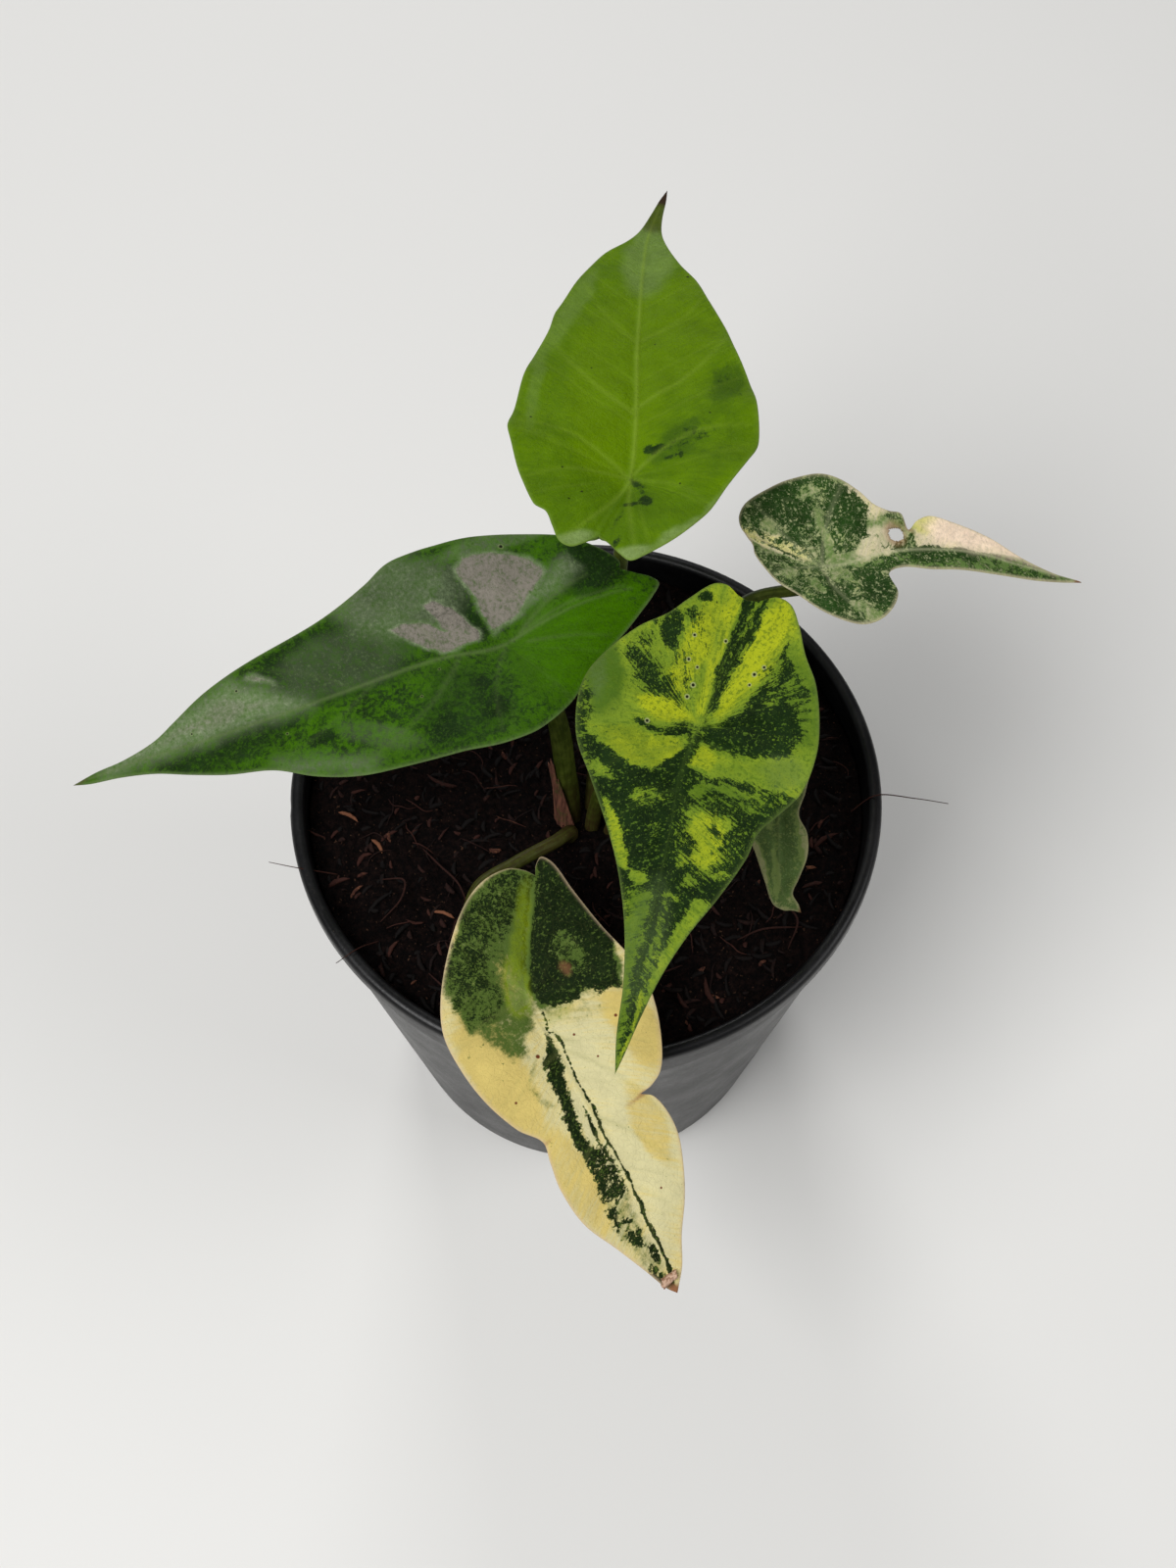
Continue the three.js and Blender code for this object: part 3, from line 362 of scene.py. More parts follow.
            (0.4, -10.6, -7.6, 1.4, 1, 30), (0.62, [(-1, -3), (-4.5, -6.6), (-13, -19.5), (-11, -22.5),
            (-6.8, -19), (-0.6, -7)], 1), (0.1, -5.6, -10.8, 9, 0.35, 59), (0.1, -4.2, -12, 8, 0.4, 58),
            (0.15, -7.4, -13.4, 6, 0.3, 59), (0.56, [(3.4, -3.2), (6.4, 0.6), (10.6, 1.6), (13, 1.2),
            (14.2, -4), (14.6, -8), (11, -13.5), (4, -21), (-4, -24.6), (-9.4, -25), (-10.6, -21.6),
            (-4, -14), (1.6, -10)], 1.6), (0.42, 9.6, -2.4, 3.6, 3.2), (0.3, 2.4, -8, 2.2, 5.5, -15),
            (0.55, 4, -12, 2.4, 2), (0.6, -1, -19, 3, 2, -20), (0.05, 1.4, -0.4, 1.8, 1.2),
            (0.25, 3, -5, 1.2, 3, -15), (0.9, [(-0.7, 3), (-1, 9), (-0.9, 22), (-1.2, 34), (-1.6, 48),
            (-1.6, 63), (-0.6, 63), (-0.9, 48), (-0.7, 34), (-0.4, 20), (-0.6, 9), (-0.2, 3)], 0.35),
            (0.97, [(0.2, 7), (1.2, 9.4), (3.6, 12.4), (4.4, 17), (4.5, 21), (5.2, 25), (5.3, 30),
            (5, 33.2), (1.6, 33.4), (-0.1, 31.8), (2.4, 30.6), (3, 26), (2.2, 20), (0.9, 15),
            (0.4, 10)], 1.1), (0.85, 0.7, 27.2, 3.2, 0.55, 89), (0.66, [(-0.4, 33.4), (5.2, 32.6),
            (5.4, 40.5), (2.4, 42), (0.2, 41)], 1), (0.72, [(3.2, 41.6), (5.4, 42), (5.2, 47),
            (3.6, 46.8)], 0.9), (0.66, 2.2, 45.6, 1.1, 1), (0.72, [(0.2, 47.6), (3.4, 47), (3.8, 50),
            (1.2, 51.6)], 0.9), (0.7, 0.6, 53.5, 0.9, 2), (0.66, 1.7, 57.6, 1.1, 3, 12),
            (0.5, 0.2, 60.5, 0.8, 2)],
        wash=[0, (0.95, [(-0.4, 4), (-4, 4.8), (-10, 4.6), (-16, 6.5), (-18.6, 2), (-19.4, -4),
            (-18.4, -26), (-8, -26), (-2, -8), (0.4, -3)], 1), (0.95, [(0, -3), (1, 2), (13.4, 2),
            (15, -8), (4, -22), (-10, -27), (-12, -22)], 1.3), (0.8, [(0.4, 1), (1.4, 5), (4.4, 8.2),
            (6, 10.6), (9, 9.6), (11.4, 5.4), (12.6, 1.4)], 1.5), (0.34, [(-0.4, 3), (-12, 4),
            (-11, 9.4), (-5, 9.6), (-0.8, 6)], 2.4), (0.5, [(4.2, 10.6), (6, 12), (8.8, 16.2),
            (8.2, 19.6), (5.4, 21.6), (5, 20), (7, 18.4), (7, 16), (4.6, 12.6)], 0.9), (0.5, [(0, 36),
            (5.6, 36), (5.4, 46), (4, 52), (3.4, 60), (1, 63), (-0.4, 62)], 1.2),
            (0.7, 2.2, -4.5, 2.2, 5.5, -15)],
        warm=[0.45, (1, 2.4, -6, 2, 5, -15), (0.1, [(-1, 8), (-9, 12), (-9.5, 24), (-11, 34), (-8, 46),
            (-2, 50)], 5), (0.15, 1.4, 25, 1.2, 6), (1, 12, 10, 5, 13), (0.75, 8, 34, 3.4, 12, 8),
            (0.9, -15, 14, 4, 9, 10), (0.7, -9, 32, 3, 8)],
        bloom_and_sheen=[0, (0.6, 1.2, -3, 2.4, 6, -20), (0.45, -5, -13, 9, 1.6, 58), (0.2, -3, 5, 3, 1.4)],
        dry=[0, (0.45, -8.6, -2.2, 0.9, 1.6), (0.8, -9.8, 26, 1.8, 0.35, 5), (0.5, 9.9, 25.8, 0.9, 0.4),
            (1, -0.9, 62.6, 1.8, 1.4)],
        lines=[(-1, 12, -13, 33, 1.6, 0.22), (-1, 26, -11, 43, 1.4, 0.22), (0, 4, -19, 14, 1.2, 0.2),
            (0.2, 12, 16, 21, -1.4, 0.2), (-0.6, 28, 10.6, 40, -1.2, 0.2), (0, 0, 17, 3, -1, 0.2),
            (-1, 40, -7.6, 51, 1, 0.15), (-0.8, 8, -4, 12, -0.4, 0.3)],
        dots=[(-12.5, 10.7, 0.32), (-4, 10.3, 0.26), (4, 11, 0.42), (11.7, 17, 0.26), (-6, 43, 0.22),
            (-6, 16, 0.22)]),
    "right": dict(
        mark=[0.62, (0.58, 0, -4, 17, 9), (0.88, -10, 5.2, 4.6, 3, 20), (0.82, -12, -6, 4, 5),
            (0.02, [(-0.6, -1), (-2.6, -5), (-6.4, -13), (-8, -15), (-4, -15), (-1.8, -7)], 0.9),
            (0.75, -2.6, -7, 4.5, 0.4, 66), (0.08, -16.6, 6, 1.6, 4, -25),
            (0.02, -12.8, 9.9, 3.2, 1.3, 48), (0.04, [(-11, 9.6), (-6, 9.6), (-3.6, 13), (-6, 16.4),
            (-10, 15), (-12, 12)], 1.2), (0.6, -9.4, 14.4, 1.2, 2), (0.25, -8.6, 0, 3, 0.8, 10),
            (0.05, -1.3, 7, 1.3, 6, 8), (0.1, -3.2, 9, 1.6, 3.4, 30), (0.1, -4, 1, 3, 0.8, 12),
            (0.3, 3, 4.5, 3, 0.8, 40), (0.3, 2.6, 2.2, 2.4, 0.6, 15), (0.92, 8, 1, 3.4, 3),
            (0.88, 6, 9, 5, 2.2, 20), (0.15, 5, -1.6, 2, 1, 20), (0.25, 10.8, 5, 1.6, 1.4),
            (0.15, 12.8, 7.4, 1.2, 1.5), (0.3, 2, -7, 2, 1.4), (0.35, -7, -9, 2, 1.4, 30),
            (0.4, -14, -2, 1.4, 2), (0, [(-11, 18.5), (-7, 17.6), (-3.6, 18.6), (-3.9, 26), (-3.7, 33),
            (-2.2, 40), (-0.4, 52), (-5, 42), (-12, 26)], 0.7), (0.45, [(-3.4, 19), (2.4, 14),
            (2.4, 33), (1.8, 44), (0.6, 51), (-0.8, 45), (-1.8, 39), (-3.3, 31)], 0.8),
            (0.9, -2.4, 27.6, 1.4, 3), (0.8, -1.6, 20.5, 1.7, 4), (0.5, 1, 22, 0.6, 6),
            (0.55, 0.7, 41, 1, 8)],
        wash=[0.7, (0, [(-11, 18.5), (-3.6, 18.2), (-3.7, 33), (-0.4, 52), (-12, 26)], 0.9),
            (0.95, -0.6, 30, 2.6, 22, 2), (0.1, -13, 9.6, 4, 3, 45), (0.35, -4, 11, 3, 5, 30),
            (0.15, -4.5, -9, 1.6, 7, -22)],
        warm=[0.3, (0.9, -8.6, 20, 2.4, 2.6), (0.6, -4.5, -9, 1.6, 7, -22)],
        bloom_and_sheen=[0, (0.75, [(-11, 23), (-8, 20), (-4.6, 22), (-3.8, 33), (-1.2, 46), (-6, 40)], 1.8)],
        dry=[0, (1, 0, 51.6, 1.2, 1.2), (0.8, -7.2, 17.2, 1.2, 0.5, 20), (0.6, -5.9, 14.4, 2.2, 2)],
        lines=[(0, 0, -12.5, -12, 0.8, 0.2), (0, 0, 3, -11, -0.5, 0.2), (0, 0, -15.5, 5, 1, 0.25),
            (0, 0, 13, 6, -1, 0.25), (-0.8, 5, -9, 14, 0.5, 0.25)],
        dots=[]),
    "small": dict(
        mark=[0.56, (0.78, 0.4, 20, 1.6, 8, -6), (0.7, 4.4, 17, 1.4, 7, 8), (0.2, -3, 19, 0.9, 6),
            (0.25, 2.7, 23, 0.7, 5), (0.2, 5.6, 20, 0.8, 6, 14)],
        wash=[0.85, (0.15, -3.6, 19, 0.8, 6), (0.3, 2, 31, 3, 2), (0.3, 5.8, 20, 0.7, 6, 14)],
        warm=[0.3],
        bloom_and_sheen=[0.08],
        dry=[0, (1, -1.8, 33, 0.8, 0.8)],
        lines=[],
        dots=[]),
}

# Colours of each blade: cool and warm ground, wash, dark mark, flecks in the dark, rib, edge,
# wax with painted reflection, and dead tissue; sheen is the wax colour where it is thin, which is
# painted sheen on the left leaf and a lime tint on the front one.
PALETTES = {
    "back": dict(cool=(79, 112, 2), warm=(92, 124, 0), wash=(64, 94, 12), mark=(28, 48, 14),
        fleck=(60, 88, 14), rib=(126, 152, 48), edge=(108, 134, 50), bloom_and_sheen=(124, 146, 84),
        dry=(56, 42, 28)),
    "left": dict(cool=(58, 97, 8), warm=(62, 107, 0), wash=(40, 71, 12), mark=(22, 41, 13),
        fleck=(52, 84, 18), rib=(96, 114, 68), edge=(100, 120, 72), bloom_and_sheen=(126, 120, 110),
        sheen=(126, 140, 106), dry=(80, 62, 44)),
    "centre": dict(cool=(118, 143, 38), warm=(168, 178, 30), wash=(74, 104, 26), mark=(19, 37, 10),
        fleck=(84, 112, 34), rib=(84, 108, 40), edge=(98, 118, 56), bloom_and_sheen=(94, 112, 70),
        dry=(80, 62, 40)),
    "front": dict(cool=(218, 210, 160), warm=(212, 190, 112), wash=(80, 101, 42), mark=(20, 33, 11),
        fleck=(82, 102, 42), rib=(128, 134, 74), edge=(210, 184, 152), bloom_and_sheen=(104, 120, 100),
        sheen=(132, 152, 20), dry=(150, 104, 72)),
    "right": dict(cool=(216, 202, 170), warm=(206, 200, 118), wash=(94, 122, 60), mark=(33, 59, 19),
        fleck=(148, 156, 112), rib=(190, 190, 150), edge=(200, 188, 154), bloom_and_sheen=(248, 222, 198),
        dry=(130, 92, 66)),
    "small": dict(cool=(146, 148, 102), warm=(152, 148, 94), wash=(108, 128, 64), mark=(67, 91, 41),
        fleck=(116, 134, 78), rib=(124, 134, 84), edge=(168, 160, 122), bloom_and_sheen=(130, 136, 104),
        dry=(112, 84, 58)),
}

# Grain of the marks: shares of streaks along the veins, of clouds and of specks, how far they
# reach past the painted places, and how soft the marks are; how clear pale flecks are in the dark
# and green flecks in the light; then how clear the side veins and the midrib are, the midrib's
# half width in millimetres, how rough the skin is, and how uneven the wax and painted sheen are.
GRAINS = {
    "back": dict(streak=0.25, cloud=0.4, speck=0.35, reach=3.4, soft=0.14, pale=0.3, green=0.08,
        veins=0.1, rib=0.5, rib_wide=0.45, rough=0.44, mist=0.3),
    "left": dict(streak=0.15, cloud=0.4, speck=0.45, reach=5.0, soft=0.16, pale=0.6, green=0.35,
        veins=0.08, rib=0.5, rib_wide=0.5, rough=0.38, mist=1.0),
    "centre": dict(streak=0.42, cloud=0.24, speck=0.34, reach=5.6, soft=0.04, pale=0.8, green=0.6,
        veins=0.05, rib=0.12, rib_wide=0.35, rough=0.42, mist=0.6),
    "front": dict(streak=0.22, cloud=0.36, speck=0.42, reach=4.4, soft=0.05, pale=0.75, green=0.0,
        veins=0.06, rib=0.12, rib_wide=0.4, rough=0.44, mist=0.5),
    "right": dict(streak=0.2, cloud=0.4, speck=0.4, reach=5.2, soft=0.05, pale=0.75, green=0.3,
        veins=0.05, rib=0.4, rib_wide=0.4, rough=0.44, mist=0.15),
    "small": dict(streak=0.2, cloud=0.4, speck=0.4, reach=4.6, soft=0.14, pale=0.5, green=0.3,
        veins=0.04, rib=0.2, rib_wide=0.4, rough=0.46, mist=0.5),
}

# Specks: colour of the core, and how clear the pale ring round it is.
SPECKS = {
    "back": ((36, 46, 14), 0.0), "left": ((28, 32, 18), 0.2), "centre": ((26, 30, 16), 0.7),
    "front": ((110, 58, 36), 0.0), "right": ((80, 52, 34), 0.0), "small": ((80, 52, 34), 0.0),
}
SPECK_RING = (164, 170, 118)
FIELDS = ("mark", "wash", "warm", "bloom_and_sheen", "dry")

# Bits that stand out by their size or paleness: x, y, direction, 2.5 times the half length,
# paleness.
BRIGHT_BITS = [(-48.5, -4, -30, 6, 0.95), (-42.5, -10, -55, 5, 1.0), (-28.5, -25.5, -20, 6, 1.0),
               (-20.5, -17.5, 70, 4.5, 0.9), (-45, -16, 20, 3.5, 0.75), (-40, -8, 35, 5, 0.7),
               (48, -5, 60, 3, 0.75), (45, -15, 10, 4, 0.9), (46, -9, 90, 3.2, 0.7),
               (25, -43, 0, 3.2, 0.85), (16, -41, 40, 4, 0.7), (9, 3, 20, 4, 0.7),
               (-15, 8, 60, 4, 0.6), (-12, -12, 80, 3.5, 0.65), (-38, -33, 60, 5, 0.7)]

# Fibres that show in the view, as points on the soil: x, y and height over it.
FIBRES = [
    [(-33, -11, 0.5), (-29.5, -15, 1.6), (-25.5, -19.5, 1.4), (-23.5, -24, 0.4)],
    [(-41, -17.5, 0.4), (-36.5, -18.5, 1.8), (-36.8, -22.5, 2.0), (-41, -27, 0.8)],
    [(-31, -38, 0.4), (-27, -42, 1.2), (-23, -46, 0.6)],
    [(8, -36, 0.4), (14, -38.5, 1.5), (19, -36.5, 0.6)],
    [(38, -22, 0.5), (42, -27, 1.8), (40, -33, 0.6)],
    [(30, -31, 0.4), (35, -29, 1.0), (43, -28, 0.4)],
    [(5, 22, 0.4), (12, 27, 1.5), (20, 26, 0.6)],
    [(-30, 22, 0.5), (-22, 27, 1.6), (-16, 24, 0.5)],
]
# Loose hairs over the lip, as points in the frame.
HAIRS = [
    [(54, -3, 99.5), (58.6, -2, 104.6), (66, -3.2, 105.6), (73, -4, 104.8)],
    [(-50, -17, 99), (-57.5, -18.2, 104.5), (-63, -17.2, 105)],
    [(-41, -32, 99.6), (-44.5, -35.5, 104), (-48.5, -39, 104.9)],
]


def colour(red, green, blue):
    """Screen colour, each part from 0 to 255, as the linear colour that a material takes."""
    parts = [p / 255 for p in (red, green, blue)]
    linear = [p / 12.92 if p <= 0.04045 else ((p + 0.055) / 1.055) ** 2.4 for p in parts]
    return (*linear, 1.0)


def ease(share):
    """Smooth step: 0 below 0, 1 above 1, with level ends."""
    s = np.clip(share, 0, 1)
    return s * s * (3 - 2 * s)


def bell(distance, half_width):
    """1 at distance 0 and falling off to both sides, as e to the minus square of their ratio."""
    return np.exp(-(distance / half_width) ** 2)


def angles(sides):
    """Directions of evenly spaced points on a round, in radians."""
    return 2 * np.pi * np.arange(sides) / sides


def lattice(x, y, size, seed):
    """Random values on a square lattice of the given size, eased from one to the next."""
    table = np.random.default_rng(seed).random((LATTICE_SIDE, LATTICE_SIDE))
    u, v = np.asarray(x) / size, np.asarray(y) / size
    i, j = np.floor(u).astype(int), np.floor(v).astype(int)
    a, b = ease(u - i), ease(v - j)
    corner = lambda di, dj: table[(i + di) % LATTICE_SIDE, (j + dj) % LATTICE_SIDE]
    low = corner(0, 0) * (1 - a) + corner(1, 0) * a
    high = corner(0, 1) * (1 - a) + corner(1, 1) * a
    return low * (1 - b) + high * b


def crumble(x, y, size, seed):
    """Sum of lattices from -1 to 1, each half the size and 0.55 the height of the one before."""
    total = np.zeros(np.shape(x))
    for k in range(OCTAVES):
        total += 0.55 ** k * (lattice(x, y, size / 2 ** k, seed + k) * 2 - 1)
    return total


def reaches(points):
    """Distance of each point along its line, from 0 at the first."""
    return np.concatenate([[0], np.cumsum(np.linalg.norm(np.diff(points, axis=0), axis=1))])


def read_off(points, places, at):
    """Points on the straight links between points that stand at the given places."""
    return np.stack([np.interp(at, places, points[:, k]) for k in range(3)], -1)


def cubic(first, last, leave, arrive, u):
    """Cubic from the first value to the last with the slopes at both, for u from 0 to 1."""
    return (first * (2 * u ** 3 - 3 * u ** 2 + 1) + leave * (u ** 3 - 2 * u ** 2 + u)
            + last * (3 * u ** 2 - 2 * u ** 3) + arrive * (u ** 3 - u ** 2))


def hermite(places, values, at):
    """Cubic through values set at rising places, with each slope taken from both neighbours."""
    places, values = np.asarray(places, float), np.asarray(values, float)
    before = np.maximum(np.arange(len(places)) - 1, 0)
    after = np.minimum(np.arange(len(places)) + 1, len(places) - 1)
    run = places[after] - places[before]
    slopes = (values[after] - values[before]) / (run if values.ndim == 1 else run[:, None])
    i = np.clip(np.searchsorted(places, at) - 1, 0, len(places) - 2)
    span = places[i + 1] - places[i]
    u = np.clip((at - places[i]) / span, 0, 1)
    if values.ndim > 1:
        span, u = span[:, None], u[:, None]
    return cubic(values[i], values[i + 1], span * slopes[i], span * slopes[i + 1], u)


def along(points, shares):
    """Points on the smooth curve through the given ones, at shares of their summed distances."""
    points = np.asarray(points, float)
    reach = reaches(points)
    return hermite(reach, points, np.asarray(shares) * reach[-1])


def centripetal(points, samples):
    """Smooth curve through points, at evenly spaced distances; knots grow with the root of the gaps."""
    p = np.asarray(points, float)
    p = np.concatenate([[2 * p[0] - p[1]], p, [2 * p[-1] - p[-2]]])
    knots = np.maximum(np.linalg.norm(np.diff(p, axis=0), axis=1), 1e-4) ** 0.5
    curve = []
    for k in range(1, len(p) - 2):
        p0, p1, p2, p3 = p[k - 1:k + 3]
        d0, d1, d2 = knots[k - 1:k + 2]
        leave = ((p1 - p0) / d0 - (p2 - p0) / (d0 + d1) + (p2 - p1) / d1) * d1
        arrive = ((p2 - p1) / d1 - (p3 - p1) / (d1 + d2) + (p3 - p2) / d2) * d1
        u = np.linspace(0, 1, CURVE_STEPS, endpoint=k == len(p) - 3)[:, None]
        curve.append(cubic(p1, p2, leave, arrive, u))
    curve = np.concatenate(curve)
    reach = reaches(curve)
    return read_off(curve, reach, np.linspace(0, reach[-1], samples))


def rib_at(leaf, y):
    """x of the rib at the place y, straight on behind the notch."""
    rib = np.array(leaf["rib"], float)
    (x0, y0), (x1, y1) = rib[:2]
    behind = x0 + (y - y0) * (x1 - x0) / (y1 - y0)
    curve = hermite(rib[:, 1], rib[:, 0], np.ravel(y)).reshape(np.shape(y))
    return np.where(y <= y0, behind, curve)


def blade_height(leaf, x, y):
    """Height over the sheet: halves that rise from the rib, a curl, edge waves, and a hollow.

    The rise is fold times the distance from the rib, rounded at the rib; the curl and the waves grow
    with the square of that distance; the hollow is a bell round the stalk."""
    across = x - rib_at(leaf, y)
    fold = leaf["fold"] * (np.sqrt(across ** 2 + RIB_ROUND ** 2) - RIB_ROUND)
    swing = np.sin(2 * np.pi * y / leaf["wave"] + np.where(across > 0, WAVE_SHIFT, 0))
    waves = leaf["ripple"] * (across / WAVE_REACH) ** 2 * swing
    hollow = leaf["dimple"] * np.exp(-(x * x + y * y) / (2 * HOLLOW_R ** 2))
    return fold + leaf["cup"] * across ** 2 / 1000 + waves - hollow


def on_sheet(leaf, x, y, height):
    """Points over the flat coordinates: the axis is two arcs that meet at the stalk."""
    x, y, height = np.broadcast_arrays(np.asarray(x, float), y, height)
    tip = leaf["rib"][-1][1]
    bend = np.where(y > 0, math.radians(leaf["sag"]) / tip, -math.radians(leaf["lift"]) / LOBE_REACH)
    start = math.radians(leaf["pitch"])
    slope = start + bend * y
    straight = np.abs(bend) < 1e-9
    safe = np.where(straight, 1, bend)
    run = np.where(straight, y * math.cos(start), (np.sin(slope) - math.sin(start)) / safe)
    rise = np.where(straight, y * math.sin(start), (math.cos(start) - np.cos(slope)) / safe)
    turn = math.radians(leaf["heading"])
    ahead = np.array([math.cos(turn), math.sin(turn), 0])
    side = np.array([ahead[1], -ahead[0], 0])
    up = np.array([0, 0, 1.0])
    normal = up * np.cos(slope)[..., None] - ahead * np.sin(slope)[..., None]
    return (np.array(leaf["at"], float) + ahead * run[..., None] + up * rise[..., None]
            + side * x[..., None] + normal * height[..., None])


def vein_place(leaf, x, y):
    """Place among the side veins: how far up the rib a point's vein starts, and how far out it is.

    The first vein leaves the stalk almost square to the rib and the next ones lean further
    forwards. Behind it the veins fan out from the stalk, counted by angle."""
    out = np.abs(x - rib_at(leaf, y))
    lean = FIRST_LEAN * leaf["sweep"]
    past = y - lean * out
    more = MORE_LEAN * leaf["sweep"] * out * (1 - np.exp(-np.maximum(past, 0) / LEAN_REACH))
    angle = np.arctan2(y, np.abs(x)) - math.atan(lean)
    start = np.where(past > 0, past - more, FAN_R * angle)
    distance = np.where(past > 0, out * math.hypot(1, lean), np.hypot(x, y))
    return start, distance


def from_link(x, y, ax, ay, bx, by):
    """Distance from the straight link between two points, and how far along it the nearest place is."""
    dx, dy = bx - ax, by - ay
    way = np.clip(((x - ax) * dx + (y - ay) * dy) / (dx * dx + dy * dy), 0, 1)
    return np.hypot(x - ax - way * dx, y - ay - way * dy), way


def outside(corners, x, y):
    """Distance from a closed outline, in millimetres: negative inside it, by counting crossings."""
    nearest = np.full(np.shape(x), np.inf)
    inside = np.zeros(np.shape(x), bool)
    for (ax, ay), (bx, by) in zip(corners, corners[1:] + corners[:1]):
        nearest = np.minimum(nearest, from_link(x, y, ax, ay, bx, by)[0])
        if ay != by:
            crosses = (ay > y) != (by > y)
            inside ^= crosses & (x < ax + (y - ay) * (bx - ax) / (by - ay))
    return np.where(inside, -nearest, nearest)


def paint(steps, x, y):
    """Level of a field at flat places, from its base level and the places laid over it.

    An ellipse is soft over half its half width and 0.6 mm, an outline over its own number."""
    field = np.full(np.shape(x), float(steps[0]))
    for step in steps[1:]:
        if len(step) == 3:
            level, corners, soft = step
            share = ease(0.5 - outside(corners, x, y) / (2 * soft))
        else:
            level, at_x, at_y, long, wide, turn = (*step, 0)[:6]
            c, s = math.cos(math.radians(turn)), math.sin(math.radians(turn))
            u = ((x - at_x) * c + (y - at_y) * s) / long
            v = ((y - at_y) * c - (x - at_x) * s) / wide
            share = ease(0.5 - (np.hypot(u, v) - 1) * wide / (0.6 + 0.5 * wide))
        field = field + (level - field) * share
    return field


def trace(lines, x, y):
    """Strength of drawn veins: distance to bowed strokes, under a bell, fading towards their ends."""
    field = np.zeros(np.shape(x))
    u = np.linspace(0, 1, STROKE_POINTS)
    for x0, y0, x1, y1, bow, strength in lines:
        bulge = 4 * bow * u * (1 - u) / math.hypot(x1 - x0, y1 - y0)
        sx = x0 + (x1 - x0) * u - (y1 - y0) * bulge
        sy = y0 + (y1 - y0) * u + (x1 - x0) * bulge
        for k in range(STROKE_POINTS - 1):
            gap, way = from_link(x, y, sx[k], sy[k], sx[k + 1], sy[k + 1])
            fade = strength * (1 - STROKE_FADE * (k + way) / STROKE_POINTS)
            field = np.maximum(field, fade * bell(gap, VEIN_HALF_WIDTH))
    return field


def add(name, data):
    """New object in the scene."""
    thing = bpy.data.objects.new(name, data)
    bpy.context.scene.collection.objects.link(thing)
    return thing


def new_piece(name, points, faces, material, nodes=(), fields=None, sharp=None):
    """Mesh from points in millimetres and faces, with doubles merged, riding on the body."""
    mesh = bpy.data.meshes.new(name)
    mesh.from_pydata((np.reshape(points, (-1, 3)) * MM).tolist(), [], np.asarray(faces).tolist())
    for key, values in (fields or {}).items():
        values = np.asarray(values, np.float32)
        kind, part = ("FLOAT", "value") if values.ndim == 1 else ("FLOAT_VECTOR", "vector")
        mesh.attributes.new(key, kind, "POINT").data.foreach_set(part, values.ravel())
    work = bmesh.new()
    work.from_mesh(mesh)
    bmesh.ops.remove_doubles(work, verts=work.verts, dist=SAME_PLACE)
    bmesh.ops.recalc_face_normals(work, faces=work.faces)
    work.to_mesh(mesh)
    work.free()
    mesh.polygons.foreach_set("use_smooth", [True] * len(mesh.polygons))
    if sharp is not None:
        mesh.set_sharp_from_angle(angle=math.radians(sharp))
    mesh.materials.append(material)
    piece = add(name, mesh)
    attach(piece, BODY)
    if nodes:
        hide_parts(*nodes)
    return piece


def grid_faces(rows, columns):
    """Four-sided faces between the rows of a grid, with its last column joined to its first."""
    i, j = np.meshgrid(np.arange(rows - 1), np.arange(columns), indexing="ij")
    k = (j + 1) % columns
    corners = [i * columns + j, i * columns + k, (i + 1) * columns + k, (i + 1) * columns + j]
    return np.stack(corners, -1).reshape(-1, 4)


def tube(path, radii, sides):
    """Round tube, closed at both ends: a circle carried along the path without twisting.

    The radii are one to each point of the path, or a row of them to each."""
    ways = np.gradient(path, axis=0)
    ways /= np.linalg.norm(ways, axis=1)[:, None]
    first = np.cross(ways[0], OFF_AXIS)
    ups = [first / np.linalg.norm(first)]
    for way in ways[1:]:
        up = ups[-1] - way * np.dot(ups[-1], way)
        ups.append(up / np.linalg.norm(up))
    ups = np.array(ups)
    beside = np.cross(ways, ups)
    a = angles(sides)[None, :, None]
    ring = ups[:, None] * np.cos(a) + beside[:, None] * np.sin(a)
    points = path[:, None] + ring * np.reshape(radii, (len(path), -1, 1))
    foot, top = (np.repeat(end, sides, 0)[None] for end in (path[:1], path[-1:]))
    return np.concatenate([foot, points, top]).reshape(-1, 3), grid_faces(len(path) + 2, sides)


